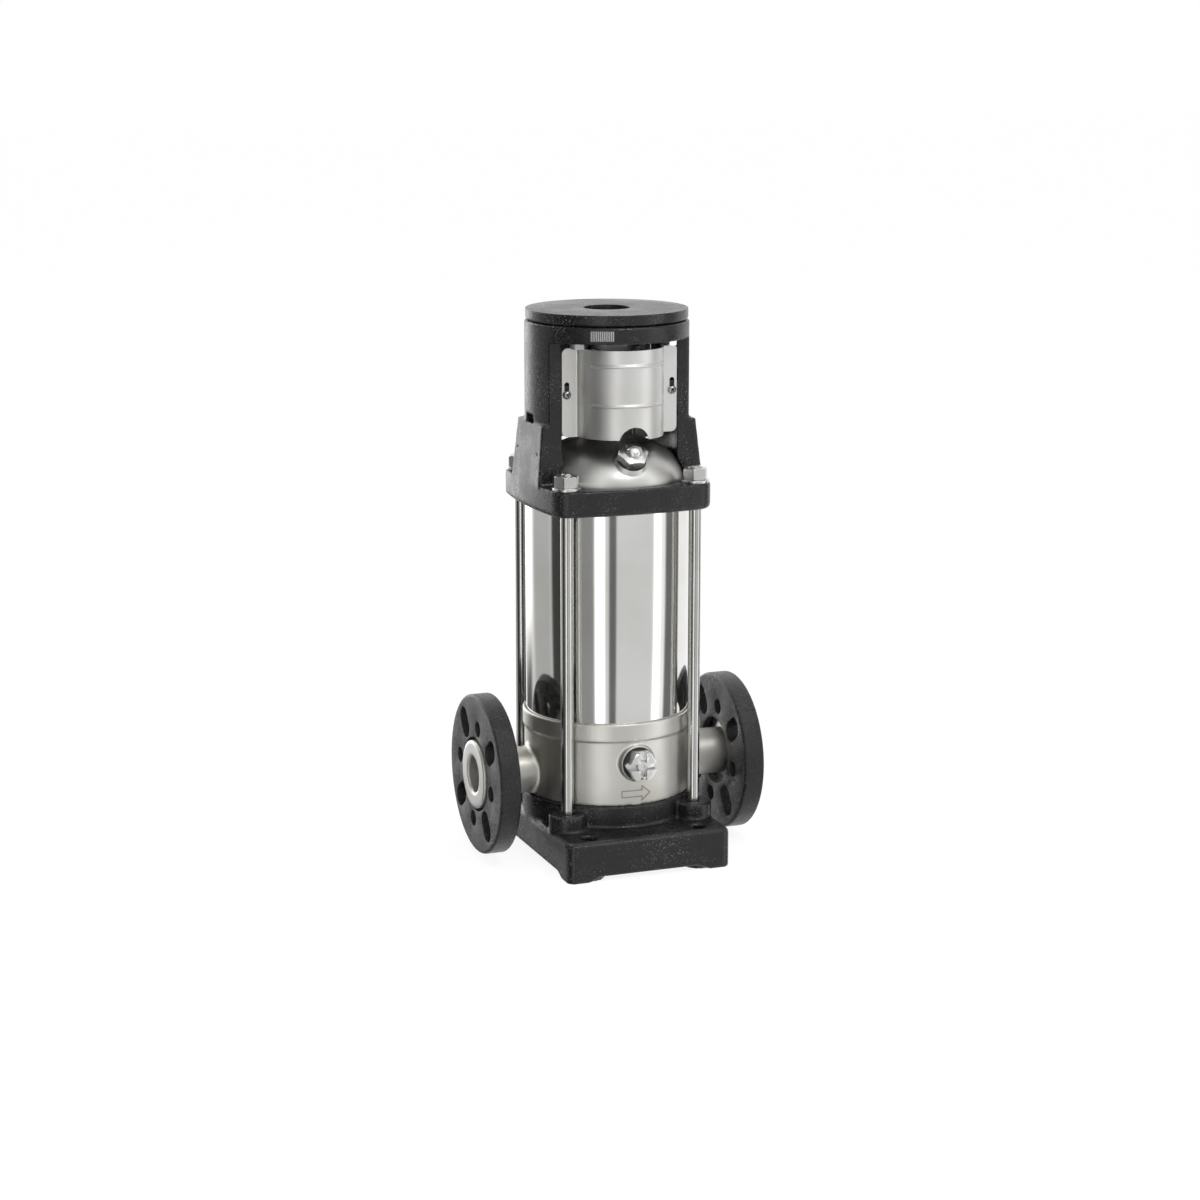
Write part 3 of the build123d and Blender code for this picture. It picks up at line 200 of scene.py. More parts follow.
def mixed(tree, factor, low, high, kind="FLOAT"):
    """A float or a colour between two others by a factor."""
    sockets = ("Factor", factor), ("A", low), ("B", high)
    return add(tree, "ShaderNodeMix", *sockets, data_type=kind).outputs["Result"]


def mixed_shader(tree, factor, first, second):
    """A shader between two others by a factor."""
    return add(tree, "ShaderNodeMixShader", (0, factor), (1, first), (2, second)).outputs[0]


# ------------------------------------------------------------------ shader groups
def new_group(name, inputs, outputs):
    """A shader node group: a default float makes a float input, anything else a vector; outputs are floats."""
    tree = bpy.data.node_groups.new(name, "ShaderNodeTree")
    for socket, value in inputs.items():
        kind = "NodeSocketFloat" if isinstance(value, float) else "NodeSocketVector"
        made = tree.interface.new_socket(name=socket, in_out="INPUT", socket_type=kind)
        if value is not None:
            made.default_value = value
    for socket in outputs:
        tree.interface.new_socket(name=socket, in_out="OUTPUT", socket_type="NodeSocketFloat")
    return tree, tree.nodes.new("NodeGroupInput").outputs, tree.nodes.new("NodeGroupOutput").inputs


def casting_skin_group():
    """Sand-cast skin: pits and grains as a height, and a mask of the raised grains."""
    inputs = {"Vector": None, "Grain": 700.0, "Waviness": 90.0}
    tree, given, result = new_group("Casting Skin", inputs, ("Height", "Grains"))
    grain = noise(tree, given["Vector"], given["Grain"], 3.0, 0.6)
    swell = noise(tree, given["Vector"], given["Waviness"], 2.0)
    grains = remap(tree, grain, 0.56, 0.7)
    height = maths(tree, "MULTIPLY_ADD", grain, 0.6, maths(tree, "MULTIPLY", swell, 0.4))
    tree.links.new(maths(tree, "MULTIPLY_ADD", grains, 0.5, height), result["Height"])
    tree.links.new(grains, result["Grains"])
    return tree


def cloudiness_group():
    """Slow, slightly uneven variation over a surface, between two levels."""
    inputs = {"Vector": None, "Scale": 30.0, "Low": 0.0, "High": 1.0}
    tree, given, result = new_group("Cloudiness", inputs, ("Value",))
    cloud = noise(tree, given["Vector"], given["Scale"], 4.0, 0.55)
    tree.links.new(remap(tree, cloud, 0.3, 0.7, given["Low"], given["High"]), result["Value"])
    return tree


def tool_marks_group():
    """Fine lines left by turning or brushing, across one stretched direction of the vector."""
    inputs = {"Vector": None, "Stretch": (1.0, 1.0, 1.0), "Fineness": 60.0}
    tree, given, result = new_group("Tool Marks", inputs, ("Height",))
    sockets = (0, given["Vector"]), (1, given["Stretch"])
    stretched = add(tree, "ShaderNodeVectorMath", *sockets, operation="MULTIPLY")
    lines = noise(tree, stretched.outputs["Vector"], given["Fineness"], 3.0, 0.7)
    tree.links.new(lines, result["Height"])
    return tree


GROUPS = {}


def place_group(tree, name, **values):
    """Places a shared group in a material on object coordinates, with its own values."""
    if not GROUPS:
        GROUPS.update(skin=casting_skin_group(), cloud=cloudiness_group(), marks=tool_marks_group())
    space = tree.nodes.get("Object Space") or add(tree, "ShaderNodeTexCoord", name="Object Space")
    sockets = ("Vector", space.outputs["Object"]), *values.items()
    return add(tree, "ShaderNodeGroup", *sockets, node_tree=GROUPS[name]).outputs


# ------------------------------------------------------------------ materials
FINISHES = {}
GLINTS_AND_WEAR = (0.2, 0.2, 0.2)  # painted glints, also standing for wear, on the tips of the enamel's grains
SHADE = (0.86, 0.85, 0.82)  # share of a metal's colour that its darker places keep
EVEN, UPRIGHT, ROUND = (1, 1, 1), (1, 1, 0.03), (0.05, 0.05, 1)  # which way tool marks run

# Enamels: name, grains per metre, depth in millimetres, gloss, painted glints and wear on the grains from and
# to.
ENAMELS = (
    ("black_paint", 850.0, 0.3, 0.27, -0.5, 1.0),
    ("flange_paint", 700.0, 1.1, 0.3, 0.1, 0.7),
)
# Metals: name, tone, roughness from and to, stretch of the tool marks, how fine they are,
# their depth in millimetres, and the scale of the slow changes.
METALS = (
    ("cast_stainless", "blasted", 0.4, 0.48, EVEN, 1400.0, 0.012, 22.0),
    ("polished_sleeve", "polished", 0.07, 0.1, UPRIGHT, 900.0, 0.0006, 14.0),
    ("satin_stainless", "satin", 0.38, 0.46, EVEN, 1500.0, 0.006, 18.0),
    ("guard_sheet", "sheet", 0.42, 0.5, (1, 1, 0.06), 1200.0, 0.003, 16.0),
    ("bright_steel", "drawn", 0.14, 0.2, (1, 1, 0.02), 800.0, 0.002, 20.0),
    ("zinc_steel", "zinc", 0.22, 0.32, EVEN, 900.0, 0.006, 40.0),
    ("shaft_steel", "polished", 0.2, 0.28, ROUND, 1200.0, 0.004, 20.0),
    ("coupling_steel", "zinc", 0.3, 0.4, ROUND, 900.0, 0.006, 30.0),
    ("plug_steel", "sheet", 0.26, 0.36, EVEN, 900.0, 0.004, 40.0),
    # the flow arrow's darker grey is painted shade along its raised outline
    ("marking", "marking", 0.5, 0.6, EVEN, 900.0, 0.004, 40.0),
)
# Moulded and ground surfaces: name, tone, roughness.
MATT = (
    ("seal_rubber", "rubber", 0.6),
    ("bearing_ceramic", "carbide", 0.3),
)


def new_material(name, base, metallic, roughness):
    """A material with a Principled BSDF; returns its tree and the shader."""
    made = FINISHES[name] = bpy.data.materials.new(name)
    made.use_nodes = True
    shader = made.node_tree.nodes["Principled BSDF"]
    shader.inputs["Base Color"].default_value = (*base, 1)
    shader.inputs["Metallic"].default_value = metallic
    shader.inputs["Roughness"].default_value = roughness
    return made.node_tree, shader


def vary_colour(tree, shader, factor, base, other):
    """Turns the base colour into another one where a mask says so."""
    tree.links.new(mixed(tree, factor, (*base, 1), (*other, 1), "RGBA"), shader.inputs["Base Color"])


def vary_gloss(tree, shader, scale, low, high):
    """Lets the roughness change slowly over the surface."""
    # Registers the add-on and makes every piece in order.
    rough = place_group(tree, "cloud", Scale=scale, Low=low, High=high)["Value"]
    tree.links.new(rough, shader.inputs["Roughness"])


def bump(tree, shader, height, depth):
    """Feeds a height, in metres at full value, to the shader's normal."""
    node = add(tree, "ShaderNodeBump", ("Strength", 1.0), ("Distance", depth), ("Height", height))
    tree.links.new(node.outputs["Normal"], shader.inputs["Normal"])


def paint_material(name, base, grain, depth, gloss, glint_least, glint_most):
    """Black enamel over a sand casting, with painted glints, also standing for wear, lightening the tips of its
    coarsest grains.
    """
    tree, shader = new_material(name, base, 0.0, gloss)
    shader.inputs["IOR"].default_value = 1.5
    skin = place_group(tree, "skin", Grain=grain)
    bump(tree, shader, skin["Height"], depth)
    vary_gloss(tree, shader, 45.0, gloss - 0.05, gloss + 0.07)
    # patches where the grain tips are lightened: painted glints, also standing for wear
    glint_patches = place_group(tree, "cloud", Scale=28.0, Low=glint_least, High=glint_most)
    vary_colour(tree, shader, maths(tree, "MULTIPLY", skin["Grains"], glint_patches["Value"], clamp=True), base, GLINTS_AND_WEAR)


def metal_material(name, base, low, high, stretch, fineness, depth, cloud_scale):
    """Worked metal with tool marks and slow changes of gloss and tone."""
    tree, shader = new_material(name, base, 1.0, (low + high) / 2)
    bump(tree, shader, place_group(tree, "marks", Stretch=stretch, Fineness=fineness)["Height"], depth)
    vary_gloss(tree, shader, cloud_scale, low, high)
    tone = place_group(tree, "cloud", Scale=cloud_scale * 0.6, Low=0.0, High=1.0)
    darker = [channel * share for channel, share in zip(base, SHADE)]
    vary_colour(tree, shader, tone["Value"], base, darker)


def matt_material(name, base, gloss):
    """Matt moulded or ground surface."""
    tree, shader = new_material(name, base, 0.0, gloss)
    bump(tree, shader, place_group(tree, "skin", Grain=1500.0)["Height"], 0.02 * MM)
    vary_gloss(tree, shader, 60.0, gloss - 0.1, gloss + 0.1)


# ------------------------------------------------------------------ mesh helpers
def rounded(points, radius, steps=5):
    """Rounds the corners of a closed outline with arcs; a radius of 0 keeps a point sharp."""
    made = []
    count = len(points)
    for index, point in enumerate(points):
        size = radius[index] if isinstance(radius, (list, tuple)) else radius
        if not size:
            made.append(Vector(point))
            continue
        here, before, after = Vector(point), Vector(points[index - 1]), Vector(points[(index + 1) % count])
        to_before, to_after = (before - here).normalized(), (after - here).normalized()
        half = to_before.angle(to_after) / 2
        reach = min(size / tan(half), 0.49 * (before - here).length, 0.49 * (after - here).length)
        arc_radius = reach * tan(half)
        centre = here + (to_before + to_after).normalized() * (arc_radius / sin(half))
        first, last = here + to_before * reach - centre, here + to_after * reach - centre
        sweep = first.angle(last)
        for step in range(steps + 1):
            share = step / steps
            spoke = (first * sin((1 - share) * sweep) + last * sin(share * sweep)) / sin(sweep)
            made.append(centre + spoke)
    return [tuple(point) for point in made]


def circle(bm, radius, height, segments):
    """A ring of vertices round Z."""
    angles = [2 * pi * step / segments for step in range(segments)]
    return [bm.verts.new((radius * cos(turn), radius * sin(turn), height)) for turn in angles]


def lathe(outline, segments=160, place=Z_UP):
    """Turns a closed outline of (radius, height) about Z; points on the axis become poles."""
    bm = bmesh.new()
    on_axis = 1e-7
    rings = [
        [bm.verts.new((0, 0, height))] if radius < on_axis else circle(bm, radius, height, segments)
        for radius, height in outline
    ]
    bridge(bm, rings, outline[0][0] > on_axis)
    return tidy_mesh(bm, place)


def bridge(bm, rings, closed):
    """Joins neighbouring rings of vertices with faces."""
    pairs = list(zip(rings, rings[1:]))
    if closed:
        pairs.append((rings[-1], rings[0]))
    for lower, upper in pairs:
        count = max(len(lower), len(upper))
        if count == 1:
            continue
        for step in range(count):
            corners = [lower[step % len(lower)], lower[(step + 1) % len(lower)]]
            corners += [upper[(step + 1) % len(upper)], upper[step % len(upper)]]
            bm.faces.new(list(dict.fromkeys(corners)))


def made_mesh(bm):
    """A mesh made of what a bmesh holds; the bmesh is freed."""
    mesh = bpy.data.meshes.new("piece")
    bm.to_mesh(mesh)
    bm.free()
    return mesh


def tidy_mesh(bm, place=Z_UP):
    """Merges doubles, turns the faces outwards and puts the mesh in place."""
    bmesh.ops.remove_doubles(bm, verts=bm.verts, dist=1e-6)
    bmesh.ops.recalc_face_normals(bm, faces=bm.faces)
    mesh = made_mesh(bm)
    mesh.transform(place)
    return mesh


def hexagon_body(flats, height, bore, chamfer, segments=96):
    """A nut or bolt head: a hexagon whose corners are cut back by a cone at its ends."""
    apothem, corner = flats / 2, flats / sqrt(3)
    ends = [share * chamfer for share in (0.0, 0.12, 0.25, 0.4, 0.6, 0.8, 1.0)]
    heights = ends + [height - end for end in reversed(ends)]
    least = apothem * 0.97
    bm = bmesh.new()
    rings = []
    for z in heights:
        limit = least + (corner - least) * min(1.0, sqrt(max(min(z, height - z), 0) / chamfer))
        ring = circle(bm, 1.0, z, segments)
        for step, vertex in enumerate(ring):
            side = apothem / cos((2 * pi * step / segments) % (pi / 3) - pi / 6)
            vertex.co.xy *= min(side, limit)
        rings.append(ring)
    if bore:
        wide, mouth = bore * 1.12, bore * 0.12
        inner = [(wide, height), (bore, height - mouth), (bore, mouth), (wide, 0.0)]
        rings += [circle(bm, radius, z, segments) for radius, z in inner]
    else:
        rings = [[bm.verts.new((0, 0, heights[0]))]] + rings + [[bm.verts.new((0, 0, heights[-1]))]]
    bridge(bm, rings, bool(bore))
    return tidy_mesh(bm)


def joined(*meshes):
    """One mesh made of several."""
    bm = bmesh.new()
    for mesh in meshes:
        bm.from_mesh(mesh)
        bpy.data.meshes.remove(mesh)
    return made_mesh(bm)


def loose_object(mesh, name="template"):
    """An object in the scene that carries a mesh while modifiers are applied to it."""
    thing = bpy.data.objects.new(name, mesh)
    bpy.context.scene.collection.objects.link(thing)
    return thing


def applied(thing):
    """The plain mesh that an object's modifiers give; the object is removed."""
    bpy.context.view_layer.update()
    evaluated = thing.evaluated_get(bpy.context.evaluated_depsgraph_get())
    mesh = bpy.data.meshes.new_from_object(evaluated)
    thing.modifiers.clear()
    bpy.data.objects.remove(thing)
    return mesh


def cut(mesh, *cutters):
    """Cuts closed meshes out of a mesh."""
    thing = loose_object(mesh)
    tools = [loose_object(cutter, "cutter") for cutter in cutters]
    for tool in tools:
        modifier = thing.modifiers.new("cut", "BOOLEAN")
        modifier.operation = "DIFFERENCE"
        modifier.solver = "EXACT"
        modifier.object = tool
    made = applied(thing)
    for tool in tools:
        bpy.data.objects.remove(tool)
    return made


def welded_copy(node):
    """A closed copy of a node's mesh."""
    bm = bmesh.new()
    bm.from_mesh(frame["nodes"][node].data)
    bmesh.ops.remove_doubles(bm, verts=bm.verts, dist=2e-6)
    return made_mesh(bm)


def soft_casting(node, cell, *fillings):
    """A node's shape with the soft edges of a casting, kept within the node's own box."""
    mesh = joined(welded_copy(node), *fillings) if fillings else welded_copy(node)
    thing = loose_object(mesh)
    remesh = thing.modifiers.new("cells", "REMESH")
    remesh.mode = "VOXEL"
    remesh.voxel_size = cell
    smoothing = thing.modifiers.new("smooth", "SMOOTH")
    smoothing.factor = 0.5
    smoothing.iterations = 3
    made = applied(thing)
    low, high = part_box(node)
    for vertex in made.vertices:
        vertex.co = Vector(max(low[i], min(high[i], vertex.co[i])) for i in range(3))
    return made


def edges_broken(mesh, width, limit=30.0):
    """A mesh whose edges are rounded off."""
    thing = loose_object(mesh)
    bevel = thing.modifiers.new("edges", "BEVEL")
    bevel.width = width
    bevel.segments = 2
    bevel.limit_method = "ANGLE"
    bevel.angle_limit = radians(limit)
    return applied(thing)


def piece(name, mesh, body, slot, *nodes, finish=None, sharp=35.0):
    """Makes a finished piece from a mesh: smooth shading, the finish or else the slot's material, its body, and
    hides the nodes it stands for.
    """
    mesh.name = name
    for face in mesh.polygons:
        face.use_smooth = True
    if sharp:
        mesh.set_sharp_from_angle(angle=radians(sharp))
    if not mesh.materials:
        mesh.materials.append(FINISHES[finish or slot])
    thing = loose_object(mesh, name)
    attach(thing, body)
    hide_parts(*nodes)
    return thing


# ------------------------------------------------------------------ places and cutters
def local_points(node, place=Z_UP):
    """A node's vertices in the frame of a place."""
    thing = frame["nodes"][node]
    to_place = place.inverted() @ thing.matrix_world
    return [to_place @ vertex.co for vertex in thing.data.vertices]


def box_of(points):
    """The lowest and highest corner round some points."""
    low = Vector([min(point[i] for point in points) for i in range(3)])
    high = Vector([max(point[i] for point in points) for i in range(3)])
    return low, high


def quarter_box(node):
    """The box of a node's copy that stands at positive X and Y."""
    return box_of([point for point in local_points(node) if point.x > 0 and point.y > 0])


def along(direction, origin):
    """The matrix that stands +Z along a direction at an origin, with X kept level."""
    z_axis = Vector(direction).normalized()
    x_axis = Vector((1, 0, 0)) if abs(z_axis.x) < 0.9 else Vector((0, 1, 0))
    y_axis = z_axis.cross(x_axis).normalized()
    x_axis = y_axis.cross(z_axis)
    turned = Matrix((x_axis, y_axis, z_axis)).transposed().to_4x4()
    return Matrix.Translation(origin) @ turned


def joint_place(name):
    """The frame on a joint's axis, with Z along it."""
    joint = next(entry for entry in frame["record"]["behaviour"]["joints"] if entry["name"] == name)
    return along(joint["axis"], joint["pos_m"])


def cylinder(radius, low, high, place=Z_UP, segments=64):
    """A closed cylinder to cut or fill with."""
    return lathe([(0, low), (radius, low), (radius, high), (0, high)], segments, place)


def block(size, place=Z_UP):
    """A closed box to cut with, centred on a place."""
    bm = bmesh.new()
    bmesh.ops.create_cube(bm, size=1.0)
    bmesh.ops.scale(bm, verts=bm.verts, vec=size)
    return tidy_mesh(bm, place)


def prism(outline, near, far):
    """A closed solid with an outline in X and Z, between two places along Y."""
    bm = bmesh.new()
    rings = [[bm.verts.new((x, y, z)) for x, z in outline] for y in (near, far)]
    bridge(bm, rings, False)
    for ring in rings:
        bm.faces.new(ring)
    return tidy_mesh(bm)


def corner_cutter(flats, top, place):
    """The ring that a lathe takes off the corners of a hexagon head."""
    inner, corner = flats / 2 * 0.99, flats / sqrt(3) + SPARE
    fall = (corner - flats / 2) * tan(radians(30))
    ring = [(inner, top + SPARE), (inner, top), (corner, top - fall), (corner, top + SPARE)]
    return lathe(ring, 96, place)


def dome_cutter(radius, shoulder, top, place):
    """The ring that a lathe takes off a round head to leave a dome."""
    steps = 14
    turns = [pi / 2 * step / steps for step in range(1, steps + 1)]
    arc = [(radius * sin(turn), shoulder + (top - shoulder) * cos(turn)) for turn in turns]
    past = radius * 1.3
    return lathe([(0, top)] + arc + [(past, shoulder), (past, top + SPARE), (0, top + SPARE)], 72, place)


def slot_cutters(width, depth, fall, flats, top, place):
    """Four boxes that let the arms of a cross slot fall towards the rim."""
    middle = Matrix.Translation((0, 0, top - depth))
    tilt = Matrix.Rotation(fall, 4, "Y") @ Matrix.Translation((flats / 2, 0, flats / 2))
    turns = [Matrix.Rotation(quarter * pi / 2, 4, "Z") for quarter in range(4)]
    return [block((flats, width, flats), place @ middle @ turn @ tilt) for turn in turns]


def slot_outline(x, z, travel, radius):
    """The outline of an upright slot with round ends."""
    steps = 16
    arc = [(radius * cos(pi * step / steps), radius * sin(pi * step / steps)) for step in range(steps + 1)]
    return [(x + dx, z + travel + dz) for dx, dz in arc] + [(x - dx, z - dz) for dx, dz in arc]


def corner_outline(x, z, radius, z_way):
    """The outline of what a round corner leaves out, at a corner that points away from X zero."""
    x_way, steps = (1 if x > 0 else -1), 8
    inner_x, inner_z = x - x_way * radius, z - z_way * radius
    past_x, past_z = x + x_way * SPARE, z + z_way * SPARE
    turns = [pi / 2 * step / steps for step in range(steps + 1)]
    arc = [(inner_x + x_way * radius * sin(turn), inner_z + z_way * radius * cos(turn)) for turn in turns]
    return arc + [(past_x, inner_z), (past_x, past_z), (inner_x, past_z)]


# ------------------------------------------------------------------ geometry node trees
RIDGE = 0.42  # radius of a thread's ridge, as a share of its pitch


def geometry_tree(name, **inputs):
    """A geometry node tree with named inputs for the part, its finish and the sizes given."""
    tree = bpy.data.node_groups.new(name, "GeometryNodeTree")
    for socket, kind in {"Part": "Object", **inputs, "Finish": "Material"}.items():
        tree.interface.new_socket(name=socket, in_out="INPUT", socket_type=f"NodeSocket{kind}")
    tree.interface.new_socket(name="Geometry", in_out="OUTPUT", socket_type="NodeSocketGeometry")
    return tree, tree.nodes.new("NodeGroupInput").outputs


def end_tree(tree, given, geometry):
    """Ends a tree with Realize Instances and Set Material."""
    real = add(tree, "GeometryNodeRealizeInstances", ("Geometry", geometry)).outputs["Geometry"]
    finished = add(tree, "GeometryNodeSetMaterial", ("Geometry", real), ("Material", given["Finish"]))
    add(tree, "NodeGroupOutput", ("Geometry", finished.outputs["Geometry"]))
    return tree


def part_geometry(tree, given):
    """The geometry of the object given as Part."""
    return add(tree, "GeometryNodeObjectInfo", ("Object", given["Part"])).outputs["Geometry"]


def xyz(tree, *sockets):
    """A vector made of numbers or outputs."""
    return add(tree, "ShaderNodeCombineXYZ", *sockets).outputs["Vector"]


def on_rectangle_tree():
    """Copies of a part on the corners of a rectangle at one level."""
    tree, given = geometry_tree("Parts On Rectangle", Length="Float", Width="Float", Place="Vector")
    sides = ("Size X", given["Length"]), ("Size Y", given["Width"])
    grid = add(tree, "GeometryNodeMeshGrid", ("Vertices X", 2), ("Vertices Y", 2), *sides)
    sockets = ("Points", grid.outputs["Mesh"]), ("Instance", part_geometry(tree, given))
    copies = add(tree, "GeometryNodeInstanceOnPoints", *sockets)
    sockets = ("Geometry", copies.outputs["Instances"]), ("Translation", given["Place"])
    return end_tree(tree, given, add(tree, "GeometryNodeTransform", *sockets).outputs["Geometry"])


def on_circle_tree():
    """Copies of a part round the Z axis, each turned with its place, from one angle by equal steps."""
    tree, given = geometry_tree(
        "Parts On Circle", Count="Int", Radius="Float", First="Float", Step="Float", Level="Float")
    line = add(tree, "GeometryNodeMeshLine", ("Offset", (0, 0, 0)), ("Count", given["Count"]))
    index = add(tree, "GeometryNodeInputIndex").outputs["Index"]
    turn = maths(tree, "MULTIPLY_ADD", index, given["Step"], given["First"])
    x, y = (maths(tree, "MULTIPLY", maths(tree, way, turn), given["Radius"]) for way in ("COSINE", "SINE"))
    spot = xyz(tree, ("X", x), ("Y", y), ("Z", given["Level"]))
    sockets = ("Geometry", line.outputs["Mesh"]), ("Position", spot)
    points = add(tree, "GeometryNodeSetPosition", *sockets).outputs["Geometry"]
    sockets = ("Points", points), ("Instance", part_geometry(tree, given)), ("Rotation", xyz(tree, ("Z", turn)))
    copies = add(tree, "GeometryNodeInstanceOnPoints", *sockets)
    return end_tree(tree, given, copies.outputs["Instances"])


def thread_tree():
    """A part with a screw thread wound round it as a helical ridge."""
    tree, given = geometry_tree("Threaded Part", Radius="Float", Pitch="Float", Turns="Float", Level="Float")
    height = maths(tree, "MULTIPLY", given["Turns"], given["Pitch"])
    sockets = ("Start Radius", given["Radius"]), ("End Radius", given["Radius"]), ("Rotations", given["Turns"])
    spiral = add(tree, "GeometryNodeCurveSpiral", ("Resolution", 36), ("Height", height), *sockets)
    ridge_radius = maths(tree, "MULTIPLY", given["Pitch"], RIDGE)
    ridge = add(tree, "GeometryNodeCurvePrimitiveCircle", ("Resolution", 6), ("Radius", ridge_radius))
    sockets = ("Curve", spiral.outputs["Curve"]), ("Profile Curve", ridge.outputs["Curve"])
    swept = add(tree, "GeometryNodeCurveToMesh", ("Fill Caps", True), *sockets)
    sockets = ("Geometry", swept.outputs["Mesh"]), ("Translation", xyz(tree, ("Z", given["Level"])))
    raised = add(tree, "GeometryNodeTransform", *sockets).outputs["Geometry"]
    sockets = ("Geometry", raised), ("Geometry", part_geometry(tree, given))
    return end_tree(tree, given, add(tree, "GeometryNodeJoinGeometry", *sockets).outputs["Geometry"])


TREES = {}


def grown(tree_name, mesh, finish, **values):
    """Runs a geometry node tree on a part's mesh and returns the plain result."""
    if not TREES:
        TREES.update(rectangle=on_rectangle_tree(), circle=on_circle_tree(), thread=thread_tree())
    template = loose_object(mesh, "part")
    carrier = loose_object(bpy.data.meshes.new("carrier"), "carrier")
    modifier = carrier.modifiers.new("grow", "NODES")
    tree = modifier.node_group = TREES[tree_name]
    sockets = {item.name: item.identifier for item in tree.interface.items_tree if item.in_out == "INPUT"}
    for name, value in {"Part": template, **values, "Finish": FINISHES[finish]}.items():
        modifier[sockets[name]] = value
    made = applied(carrier)
    bpy.data.objects.remove(template)
    return made


# ------------------------------------------------------------------ operators
class PUMP_OT_finishes(bpy.types.Operator):
    """Make the material for each slot and give it to the nodes that stay in view"""

    bl_idname = "pump.finishes"
    bl_label = "Finishes"

    def execute(self, context):
        tones = context.scene.pump_finishes
        for name, grain, depth, gloss, glint_least, glint_most in ENAMELS:
            paint_material(name, tones.paint, grain, depth * MM, gloss, glint_least, glint_most)
        for name, tone, low, high, stretch, fineness, depth, scale in METALS:
            metal_material(name, getattr(tones, tone), low, high, stretch, fineness, depth * MM, scale)
        for name, tone, gloss in MATT:
            matt_material(name, getattr(tones, tone), gloss)
        for entry in frame["record"]["subparts"]:
            node = frame["nodes"][entry["node"]]
            if not node.material_slots:
                node.data.materials.append(None)
            for slot in node.material_slots:
                slot.material = FINISHES[entry["material_slot"]]
        return {"FINISHED"}


class PUMP_OT_base_plate(bpy.types.Operator):
    """Make the cast base plate"""

    bl_idname = "pump.base_plate"
    bl_label = "Base Plate"

    def execute(self, context):
        mesh = soft_casting("base_plate", context.scene.pump_sizes.casting_cell)
        piece("base_casting", mesh, "pump", "black_paint", "base_plate", sharp=0)
        return {"FINISHED"}


class PUMP_OT_foot(bpy.types.Operator):
    """Make the stainless foot casting with its two ports and the flow arrow"""

    bl_idname = "pump.foot"
    bl_label = "Foot Casting"

    def execute(self, context):
        sizes = context.scene.pump_sizes
        low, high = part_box("foot_casting")
        sleeve_low, sleeve_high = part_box("outer_sleeve")
        # the hidden inside is filled, so that cells only follow the outside
        inside = cylinder(sleeve_high.x - 3 * MM, low.z + SPARE, sleeve_low.z - SPARE)
        mesh = soft_casting("foot_casting", sizes.fine_cell, inside)
        mesh.materials.append(FINISHES["cast_stainless"])
        mesh.materials.append(FINISHES["plug_steel"])
        # the sealing faces of the ports are turned
        face_x = high.x - 0.6 * MM
        for face in mesh.polygons:
            if abs(face.center.x) > face_x and abs(face.normal.x) > 0.95:
                face.material_index = 1
        piece("foot_body", mesh, "pump", "cast_stainless", "foot_casting", sharp=0)
        drain = joint_place("drain_plug_turn").translation
        arrow = arrow_mesh(-drain.y, drain.z - sizes.arrow_drop, sizes)
        # the raised arrow is painted darker than the casting as shade for its relief
        piece("flow_arrow", arrow, "pump", "cast_stainless", finish="marking")
        return {"FINISHED"}


def arrow_mesh(radius, level, sizes):
    """The raised outline of an arrow, wrapped on the front of a cylinder and pointing to the discharge."""
    half, width = sizes.arrow_length / 2, sizes.arrow_width
    neck, shaft = half - width * 0.6, width * 0.22
    upper = [(half, 0), (neck, width / 2), (neck, shaft), (-half, shaft)]
    outline = [(x, -y) for x, y in reversed(upper[1:])] + upper
    count, steps = len(outline), 8
    inner = []
    for index, point in enumerate(outline):
        here, before, after = Vector(point), Vector(outline[index - 1]), Vector(outline[(index + 1) % count])
        first, second = (here - before).normalized(), (after - here).normalized()
        normal = (Vector((-first.y, first.x)) + Vector((-second.y, second.x))) / (1 + first.dot(second))
        inner.append(tuple(here + normal * sizes.arrow_stroke))
    sunk, proud = radius - 0.4 * MM, radius + 0.3 * MM
    bm = bmesh.new()
    rings = []
    for index in range(count):
        for step in range(steps):
            ring = []
            for line, reach in ((outline, sunk), (outline, proud), (inner, proud), (inner, sunk)):
                spot = Vector(line[index]).lerp(Vector(line[(index + 1) % count]), step / steps)
                turn = spot.x / radius
                ring.append(bm.verts.new((reach * sin(turn), -reach * cos(turn), level + spot.y)))
            rings.append(ring)
    bridge(bm, rings, True)
    return tidy_mesh(bm)


class PUMP_OT_flanges(bpy.types.Operator):
    """Make the two loose flanges"""

    bl_idname = "pump.flanges"
    bl_label = "Loose Flanges"

    def execute(self, context):
        sizes = context.scene.pump_sizes
        for side in ("suction", "discharge"):
            body = f"{side}_flange"
            mesh = edges_broken(welded_copy(body), sizes.flange_edge)
            piece(f"{side}_loose_flange", mesh, body, "black_paint", body, finish="flange_paint")
        return {"FINISHED"}


class PUMP_OT_sleeve(bpy.types.Operator):
    """Make the polished pressure sleeve"""

    bl_idname = "pump.sleeve"
    bl_label = "Pressure Sleeve"

    def execute(self, context):
        sizes = context.scene.pump_sizes
        low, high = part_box("outer_sleeve")
        inner = high.x - sizes.sleeve_wall
        outline = [(high.x, low.z), (high.x, high.z), (inner, high.z), (inner, low.z)]
        mesh = lathe(rounded(outline, sizes.thin_edge, 3), 256)
        piece("pressure_sleeve", mesh, "pump", "polished_sleeve", "outer_sleeve")
        return {"FINISHED"}


class PUMP_OT_head(bpy.types.Operator):
    """Make the domed pump head with its priming boss"""

    bl_idname = "pump.head"
    bl_label = "Pump Head"

    def execute(self, context):
        piece("head_dome", welded_copy("head_cover"), "pump", "satin_stainless", "head_cover", sharp=30)
        return {"FINISHED"}


